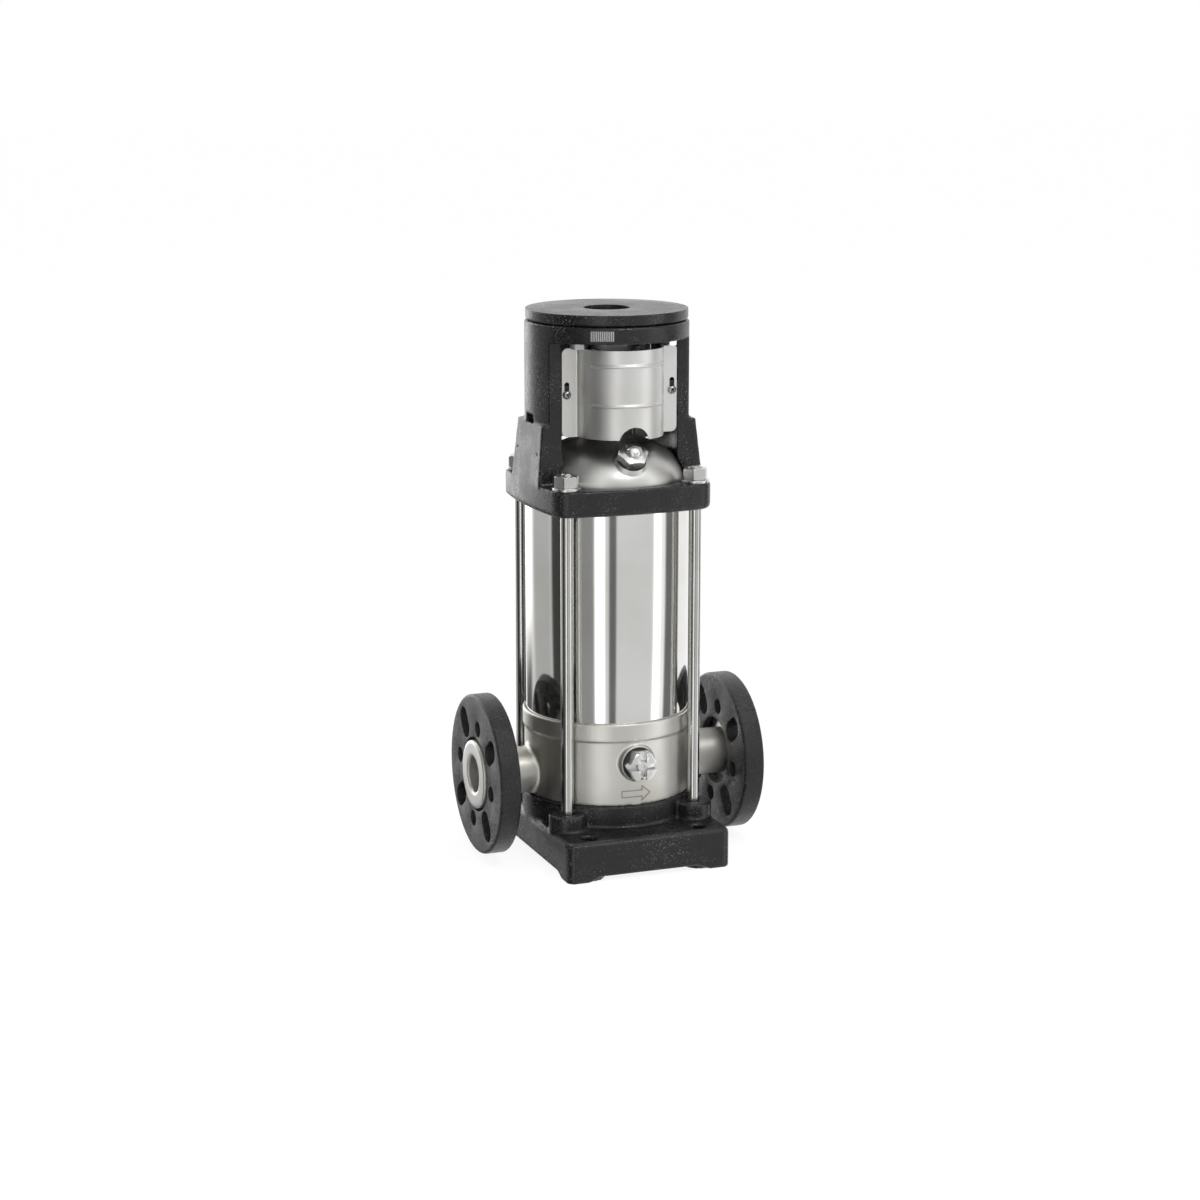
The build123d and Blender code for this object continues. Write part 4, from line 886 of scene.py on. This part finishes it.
class PUMP_OT_stool(bpy.types.Operator):
    """Make the motor stool with the head plate, legs, seat ring and grip ribs, whose bright metal is a painted
    highlight
    """

    bl_idname = "pump.stool"
    bl_label = "Motor Stool"

    def execute(self, context):
        sizes = context.scene.pump_sizes
        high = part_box("motor_stool")[1]
        plate_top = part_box("staybolt_washers")[0].z
        pins = []
        for side in (-1, 1):
            for y in (-sizes.pin_spread, sizes.pin_spread):
                way = along((side, 0, 0), (0, y, plate_top + sizes.pin_rise))
                pins.append(cylinder(sizes.pin_radius, high.x - sizes.pin_depth, high.x + SPARE, way, 16))
        mesh = cut(soft_casting("motor_stool", sizes.casting_cell), *pins)
        piece("stool_casting", mesh, "pump", "black_paint", "motor_stool", sharp=0)
        # fine upright ribs on the front of the seat ring, in bright metal as a painted highlight where the ring
        # catches the light
        level, reach = high.z - sizes.rib_drop, 20 * MM
        front = [point for point in local_points("motor_stool") if point.z > level and abs(point.x) < reach]
        ring_radius = max(point.xy.length for point in front)
        half, thick = sizes.rib_height / 2, 0.35 * sizes.rib_pitch
        outline = [(0, -half), (thick, -half), (thick, half), (0, half)]
        rib = lathe(rounded(outline, [0, sizes.edge_break, sizes.edge_break, 0], 3), 12)
        step = sizes.rib_pitch / ring_radius
        first = sizes.rib_highlight_bearing - pi / 2 - step * (sizes.rib_count - 1) / 2
        ribs = grown("circle", rib, "zinc_steel", Count=sizes.rib_count, Radius=ring_radius,
                     First=first, Step=step, Level=level)
        # bright zinc on the black ring: a painted highlight
        piece("grip_ribs", ribs, "pump", "zinc_steel")
        return {"FINISHED"}


class PUMP_OT_staybolts(bpy.types.Operator):
    """Make the staybolts with their washers and nuts"""

    bl_idname = "pump.staybolts"
    bl_label = "Staybolts"

    def execute(self, context):
        sizes = context.scene.pump_sizes
        pitch, chamfer = sizes.thread_pitch, sizes.bolt_chamfer
        low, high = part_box("staybolts")
        washer_low, washer_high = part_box("staybolt_washers")
        nut_low, nut_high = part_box("staybolt_nuts")
        one_low, one_high = quarter_box("staybolts")
        spread = one_low.x + one_high.x
        bolt_r = (one_high.x - one_low.x) / 2
        # the thread starts at the nut; below it the bolt keeps its full size
        depth, start = 0.45 * pitch, nut_low.z
        core = bolt_r - depth
        outline = [(0, low.z), (bolt_r, low.z), (bolt_r, start), (core, start + depth),
                   (core, high.z - chamfer), (core - chamfer, high.z), (0, high.z)]
        turns = (high.z - chamfer - start - 2 * depth) / pitch
        threaded = grown("thread", lathe(outline, 48), "bright_steel", Radius=bolt_r - RIDGE * pitch,
                         Pitch=pitch, Turns=turns, Level=start + depth)
        rods = grown("rectangle", threaded, "bright_steel", Length=spread, Width=spread)
        piece("stay_rods", rods, "pump", "bright_steel", "staybolts")
        washer_r, thick = washer_high.x - spread / 2, washer_high.z - washer_low.z
        outline = [(bolt_r, 0), (washer_r, 0), (washer_r, thick), (bolt_r, thick)]
        washer = lathe(rounded(outline, sizes.thin_edge, 3), 72)
        one_low, one_high = quarter_box("staybolt_nuts")
        flats = min(one_high.x - one_low.x, one_high.y - one_low.y)
        nut = hexagon_body(flats, nut_high.z - nut_low.z, bolt_r, sizes.nut_chamfer)
        for name, part, base in (("washers", washer, washer_low.z), ("nuts", nut, nut_low.z)):
            four = grown("rectangle", part, "zinc_steel", Length=spread, Width=spread, Place=(0, 0, base))
            piece(f"stay_{name}", four, "pump", "zinc_steel", f"staybolt_{name}")
        return {"FINISHED"}


class PUMP_OT_motor_flange(bpy.types.Operator):
    """Make the motor's lower flange and its bolts"""

    bl_idname = "pump.motor_flange"
    bl_label = "Motor Flange"

    def execute(self, context):
        sizes = context.scene.pump_sizes
        register, bore, head = sizes.motor_register, sizes.motor_bore, sizes.motor_bolt_head
        low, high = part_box("motor_flange")
        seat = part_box("motor_stool")[1].z
        outline = [(register, low.z), (register, seat), (high.x, seat)]
        outline += [(high.x, high.z), (bore, high.z), (bore, low.z)]
        radii = [size * MM for size in (0.5, 0.2, 3.2, 0.6, 0.5, 0.5)]
        piece("motor_foot", lathe(rounded(outline, radii), 192), "pump", "black_paint", "motor_flange")
        bolt_low, bolt_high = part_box("motor_bolts")
        one_low, one_high = quarter_box("motor_bolts")
        hexagon = hexagon_body(sizes.motor_bolt_flats, head, 0, sizes.motor_bolt_chamfer, 72)
        shank = cylinder(sizes.motor_bolt_shank, head / 2, bolt_high.z - bolt_low.z, segments=24)
        bolts = grown("circle", joined(hexagon, shank), "zinc_steel", Count=4, First=pi / 4, Step=pi / 2,
                      Radius=(one_low + one_high).xy.length / 2, Level=bolt_low.z)
        piece("motor_screws", bolts, "pump", "zinc_steel", "motor_bolts")
        return {"FINISHED"}


class PUMP_OT_guards(bpy.types.Operator):
    """Make the two pressed guards round the coupling"""

    bl_idname = "pump.guards"
    bl_label = "Coupling Guards"

    def execute(self, context):
        sizes = context.scene.pump_sizes
        for name, side in (("front", -1), ("rear", 1)):
            low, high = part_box(f"guard_{name}")
            if side > 0:
                low = Vector((low.x, low.y, low.z - sizes.rear_skirt))
            mesh = guard_mesh(low, high, side, sizes)
            piece(f"{name}_guard_sheet", mesh, "pump", "guard_sheet", f"guard_{name}", sharp=50)
        return {"FINISHED"}


def guard_mesh(low, high, side, sizes):
    """Pressed sheet: two flaps, bends and a half-round bulge with two beads, slots and a notch in front."""
    inner_plane = min(abs(low.y), abs(high.y))
    reach = max(abs(low.y), abs(high.y))
    radius = reach - inner_plane - sizes.bead_height
    path = guard_path(high.x, radius, sizes)
    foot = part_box("guard_front")[0].z
    beads = (foot + sizes.bead_low, foot + sizes.bead_high)
    rows, bead_half = 24, sizes.bead_width / 2
    levels = {low.z, high.z}
    levels.update(low.z + (high.z - low.z) * row / rows for row in range(rows))
    for bead in beads:
        levels = {z for z in levels if abs(z - bead) > sizes.bead_width * 0.6}
        levels.update(bead + bead_half * share / 6 for share in range(-6, 7))
    bm = bmesh.new()
    rings = []
    for z in sorted(levels):
        rise = max(cos(min(1.0, abs(z - bead) / bead_half) * pi / 2) ** 2 for bead in beads)
        ring = []
        for (x, y), lift in path:
            swell = 1 + rise * lift * sizes.bead_height / radius
            ring.append(bm.verts.new((x * swell, side * (inner_plane + y * swell), z)))
        rings.append(ring)
    bridge(bm, rings, False)
    bm.faces.new(rings[0])
    bm.faces.new(rings[-1])
    cutters = []
    if side < 0:
        place = along((0, side, 0), (0, 0, low.z + sizes.notch_rise - sizes.notch_radius))
        cutters.append(cylinder(sizes.notch_radius, inner_plane + 5 * MM, reach + 5 * MM, place))
    screw_low, screw_high = quarter_box("guard_screws")
    screw_x, screw_z = (screw_low.x + screw_high.x) / 2, (screw_low.z + screw_high.z) / 2
    near, far = side * (inner_plane - 3 * MM), side * (inner_plane + 5 * MM)
    for way in (-1, 1):
        outlines = (
            slot_outline(way * screw_x, screw_z, sizes.slot_travel, sizes.slot_radius),
            corner_outline(way * high.x, high.z, sizes.flap_corner, 1),
            corner_outline(way * high.x, low.z, sizes.flap_corner, -1),
        )
        cutters += [prism(outline, near, far) for outline in outlines]
    return cut(tidy_mesh(bm), *cutters)


def guard_path(half, radius, sizes):
    """A guard's sheet seen from above: the points outside and back inside, each with its share of a bead."""
    wall, bend = sizes.sheet_wall, sizes.sheet_bend
    flap_steps, bend_steps, arc_steps = 8, 6, 96
    side_x, start = radius + bend, atan2(wall + bend, radius)
    flap, arc = [], []
    for step in range(flap_steps):
        x = -half + (half - side_x) * step / flap_steps
        flap.append(((x, wall), (x, 0), 0))
    for step in range(bend_steps + 1):
        turn = pi / 2 * step / bend_steps
        both = ((-side_x + size * sin(turn), wall + bend - size * cos(turn)) for size in (bend, bend + wall))
        flap.append((*both, 0))
    for step in range(1, arc_steps):
        turn = start + (pi - 2 * start) * step / arc_steps
        both = ((-size * cos(turn), size * sin(turn)) for size in (radius, radius - wall))
        arc.append((*both, bead_share(abs(degrees(turn) - 90))))
    mirrored = [((-outer[0], outer[1]), (-inner[0], inner[1]), 0) for outer, inner, share in reversed(flap)]
    line = flap + arc + mirrored
    back = [(inner, share) for outer, inner, share in reversed(line)]
    return [(outer, share) for outer, inner, share in line] + back


def bead_share(bearing, full=56.0, gone=60.0):
    """How much of the bead's height is left at so many degrees from the guard's middle."""
    share = min(1.0, max(0.0, (gone - bearing) / (gone - full)))
    return share * share * (3 - 2 * share)


# The guard screws' rounded top: radius and drop below the top, in millimetres.
SCREW_DOME = ((0.0, 0.0), (1.4, 0.15), (2.7, 0.75))


class PUMP_OT_guard_screws(bpy.types.Operator):
    """Make the guards' screws"""

    bl_idname = "pump.guard_screws"
    bl_label = "Guard Screws"

    def execute(self, context):
        sizes = context.scene.pump_sizes
        head, shank = sizes.screw_head, sizes.screw_shank
        low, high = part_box("guard_screws")
        one_low, one_high = quarter_box("guard_screws")
        head_r = (one_high.x - one_low.x) / 2
        outline = [(radius * MM, head - drop * MM) for radius, drop in SCREW_DOME]
        outline += [(head_r - 0.1 * MM, head - 1.9 * MM), (head_r, 0)]
        outline += [(shank, 0), (shank, -sizes.screw_reach), (0, -sizes.screw_reach)]
        # a cross slot, turned a little from the level
        slot = (3.6 * MM, sizes.screw_slot, 1.8 * MM)
        turns = (Matrix.Rotation(turn, 4, "Z") for turn in (0.5, pi / 2 + 0.5))
        arms = (block(slot, Matrix.Translation((0, 0, head)) @ turn) for turn in turns)
        screw = cut(lathe(outline, 32), *arms)
        both = []
        for side in (1, -1):
            copy = screw.copy()
            copy.transform(along((0, -side, 0), (0, 0, 0)))
            place = (0, -side * (high.y - head), (low.z + high.z) / 2)
            spread = high.x - low.x - 2 * head_r
            both.append(grown("rectangle", copy, "zinc_steel", Length=spread, Width=0.0, Place=place))
        piece("cover_screws", joined(*both), "pump", "zinc_steel", "guard_screws")
        return {"FINISHED"}


class PUMP_OT_priming_plug(bpy.types.Operator):
    """Make the priming plug and the vent screw"""

    bl_idname = "pump.priming_plug"
    bl_label = "Priming Plug"

    def execute(self, context):
        sizes = context.scene.pump_sizes
        place = joint_place("priming_plug_turn")
        low, high = box_of(local_points("priming_plug", place))
        mesh = cut(welded_copy("priming_plug"), corner_cutter(high.y - low.y, high.z, place))
        mesh = edges_broken(mesh, sizes.edge_break)
        piece("priming_hexagon", mesh, "priming_plug", "plug_steel", "priming_plug")
        high = box_of(local_points("vent_screw", place))[1]
        seat = box_of(local_points("vent_ring", place))[1].z
        shoulder = seat + (high.z - seat) * 0.15
        mesh = cut(welded_copy("vent_screw"), dome_cutter(high.x, shoulder, high.z, place))
        mesh = edges_broken(mesh, sizes.edge_break / 2)
        piece("vent_dome_screw", mesh, "vent_screw", "plug_steel", "vent_screw")
        return {"FINISHED"}


class PUMP_OT_drain_plug(bpy.types.Operator):
    """Make the drain plug and the bypass spindle"""

    bl_idname = "pump.drain_plug"
    bl_label = "Drain Plug"

    def execute(self, context):
        sizes = context.scene.pump_sizes
        place = joint_place("drain_plug_turn")
        low, high = box_of(local_points("drain_plug", place))
        flats = high.y - low.y
        arms = slot_cutters(sizes.plug_slot, sizes.plug_slot_depth, sizes.plug_slot_fall, flats, high.z, place)
        mesh = cut(welded_copy("drain_plug"), corner_cutter(flats, high.z, place), *arms)
        mesh = edges_broken(mesh, sizes.edge_break)
        piece("drain_hexagon", mesh, "drain_plug", "plug_steel", "drain_plug")
        mesh = edges_broken(welded_copy("bypass_spindle"), sizes.edge_break)
        piece("bypass_screw", mesh, "bypass_spindle", "plug_steel", "bypass_spindle")
        return {"FINISHED"}


# ------------------------------------------------------------------ studio
# Lamps, each named as its power in the settings: place, height of what it looks at, width and height.
LAMPS = (
    ("ceiling", (0.0, -0.3, 1.7), 0.2, 1.6, 1.6),
    ("side", (-1.5, -0.9, 0.9), 0.25, 1.2, 1.4),
    ("key", (0.35, -1.5, 1.9), 0.25, 0.4, 0.4),
)
# Soft boxes and flags round the pump that only polished metal sees:
# bearing in degrees from the front towards the right, half width, soft edge, brightness.
PANELS = (
    (0.0, 50.0, 14.0, 0.72),
    (-125.0, 22.0, 16.0, 0.5),
    (-82.0, 22.0, 5.0, 0.06),
    (-50.0, 12.0, 5.0, 0.3),
    (-30.5, 6.6, 5.0, 2.0),
    (-12.5, 5.0, 3.0, 0.16),
    (54.5, 5.8, 5.0, 2.0),
    (81.5, 12.5, 5.0, 0.17),
)
BETWEEN_PANELS = 1.05
# A wall right behind the pump: where it starts and is full, in degrees from the back, then
# where it is dark below and bright above, in degrees from the horizon, with both brightnesses.
WALL_EDGES, WALL_HEIGHTS, WALL_LEVELS = (36, 18), (-17.5, -8.5), (0.12, 2.7)


class PUMP_OT_studio(bpy.types.Operator):
    """Make the floor, the lights, the surroundings and the camera"""

    bl_idname = "pump.studio"
    bl_label = "Studio"

    def execute(self, context):
        studio = context.scene.pump_studio
        make_floor()
        make_world(context.scene, studio)
        for name, spot, aim, width, height in LAMPS:
            area_light(name, spot, aim, width, height, getattr(studio, name))
        make_camera(context.scene, studio)
        context.scene.view_settings.view_transform = "Standard"
        return {"FINISHED"}


def aimed(name, data, spot, forward):
    """A lamp or camera at a spot that looks along a direction."""
    thing = bpy.data.objects.new(name, data)
    thing.location = spot
    thing.rotation_mode = "QUATERNION"
    thing.rotation_quaternion = forward.to_track_quat("-Z", "Y")
    bpy.context.scene.collection.objects.link(thing)
    return thing


def area_light(name, spot, aim, width, height, power):
    """A soft rectangular light that looks at the pump; polished metal sees the key light only."""
    data = bpy.data.lights.new(name, "AREA")
    data.shape = "RECTANGLE"
    data.size = width
    data.size_y = height
    data.energy = power
    lamp = aimed(name, data, spot, Vector((0, 0, aim)) - Vector(spot))
    lamp.visible_glossy = name == "key"


def make_camera(scene, studio):
    """The camera, turned round the pump and looking slightly down."""
    data = bpy.data.cameras.new("camera")
    data.lens = studio.focal
    data.sensor_width = 36.0
    data.clip_start, data.clip_end = 0.05, 50.0
    turn, tilt = studio.azimuth, studio.pitch
    bearing = turn + studio.pan
    spot = (studio.distance * sin(turn), -studio.distance * cos(turn), studio.height)
    forward = Vector((-sin(bearing) * cos(tilt), cos(bearing) * cos(tilt), -sin(tilt)))
    scene.camera = aimed("camera", data, spot, forward)


def make_floor():
    """A plain pale floor: white to the camera but for a soft shadow, and clear in reflections."""
    bm = bmesh.new()
    bmesh.ops.create_grid(bm, x_segments=2, y_segments=2, size=15.0)
    floor = loose_object(tidy_mesh(bm), "floor")
    surface = bpy.data.materials.new("floor")
    surface.use_nodes = True
    tree = surface.node_tree
    tree.nodes.clear()
    ray = tree.nodes.new("ShaderNodeLightPath").outputs
    plain = add(tree, "ShaderNodeBsdfDiffuse", ("Color", (0.8, 0.8, 0.8, 1))).outputs[0]
    glow = add(tree, "ShaderNodeEmission", ("Strength", 1.12)).outputs[0]
    clear = tree.nodes.new("ShaderNodeBsdfTransparent").outputs[0]
    white = mixed_shader(tree, 0.8, plain, glow)
    seen = mixed_shader(tree, ray["Is Camera Ray"], plain, white)
    final = mixed_shader(tree, ray["Is Glossy Ray"], seen, clear)
    add(tree, "ShaderNodeOutputMaterial", ("Surface", final))
    floor.data.materials.append(surface)


def background(tree, strength):
    """A white background of some strength."""
    sockets = ("Color", (1, 1, 1, 1)), ("Strength", strength)
    return add(tree, "ShaderNodeBackground", *sockets).outputs[0]


def make_world(scene, studio):
    """Plain light all round; metal sees soft boxes and flags; the camera sees white."""
    world = scene.world = bpy.data.worlds.new("studio")
    world.use_nodes = True
    tree = world.node_tree
    tree.nodes.clear()
    ray = tree.nodes.new("ShaderNodeLightPath").outputs
    direction = tree.nodes.new("ShaderNodeTexCoord").outputs["Generated"]
    axes = add(tree, "ShaderNodeSeparateXYZ", ("Vector", direction)).outputs
    bearing = maths(tree, "ARCTAN2", axes["X"], maths(tree, "MULTIPLY", axes["Y"], -1.0))
    level = BETWEEN_PANELS
    for centre, half_width, edge, brightness in PANELS:
        offset = maths(tree, "ABSOLUTE", maths(tree, "SUBTRACT", bearing, radians(centre)))
        inside = remap(tree, offset, radians(half_width + edge / 2), radians(half_width - edge / 2))
        level = mixed(tree, inside, level, brightness)
    offset = maths(tree, "ABSOLUTE", maths(tree, "ADD", bearing, pi))
    inside = remap(tree, offset, *(radians(edge) for edge in WALL_EDGES))
    wall = remap(tree, axes["Z"], *(sin(radians(height)) for height in WALL_HEIGHTS), *WALL_LEVELS)
    metal = background(tree, mixed(tree, inside, level, wall))
    others = mixed_shader(tree, ray["Is Glossy Ray"], background(tree, studio.surround), metal)
    seen = mixed_shader(tree, ray["Is Camera Ray"], others, background(tree, 1.0))
    add(tree, "ShaderNodeOutputWorld", ("Surface", seen))


# ------------------------------------------------------------------ add-on
class PUMP_PT_panel(bpy.types.Panel):
    """Lists the pump's pieces and their settings in the sidebar"""

    bl_idname = "PUMP_PT_panel"
    bl_label = "Vertical Multistage Pump"
    bl_space_type = "VIEW_3D"
    bl_region_type = "UI"
    bl_category = "Pump"

    def draw(self, context):
        layout = self.layout
        for settings in (context.scene.pump_sizes, context.scene.pump_finishes, context.scene.pump_studio):
            box = layout.box()
            for name in settings.__annotations__:
                box.prop(settings, name)
        for operator in OPERATORS:
            layout.operator(operator.bl_idname)


OPERATORS = (
    PUMP_OT_finishes,
    PUMP_OT_studio,
    PUMP_OT_base_plate,
    PUMP_OT_foot,
    PUMP_OT_flanges,
    PUMP_OT_sleeve,
    PUMP_OT_head,
    PUMP_OT_stool,
    PUMP_OT_staybolts,
    PUMP_OT_motor_flange,
    PUMP_OT_guards,
    PUMP_OT_guard_screws,
    PUMP_OT_priming_plug,
    PUMP_OT_drain_plug,
)
SETTINGS = {"pump_sizes": PumpSizes, "pump_finishes": PumpFinishes, "pump_studio": StudioSettings}
CLASSES = (*SETTINGS.values(), *OPERATORS, PUMP_PT_panel)


def register():
    """Registers the classes and hangs the settings on the scene."""
    for cls in CLASSES:
        bpy.utils.register_class(cls)
    for name, settings in SETTINGS.items():
        setattr(bpy.types.Scene, name, PointerProperty(type=settings))


def unregister():
    """Takes the settings and the classes away again."""
    for name in SETTINGS:
        delattr(bpy.types.Scene, name)
    for cls in reversed(CLASSES):
        bpy.utils.unregister_class(cls)


def main():
    """Registers the add-on, makes every piece in order and notes the sizes."""
    register()
    for operator in OPERATORS:
        group, name = operator.bl_idname.split(".")
        getattr(getattr(bpy.ops, group), name)()


if __name__ == "__main__":
    main()
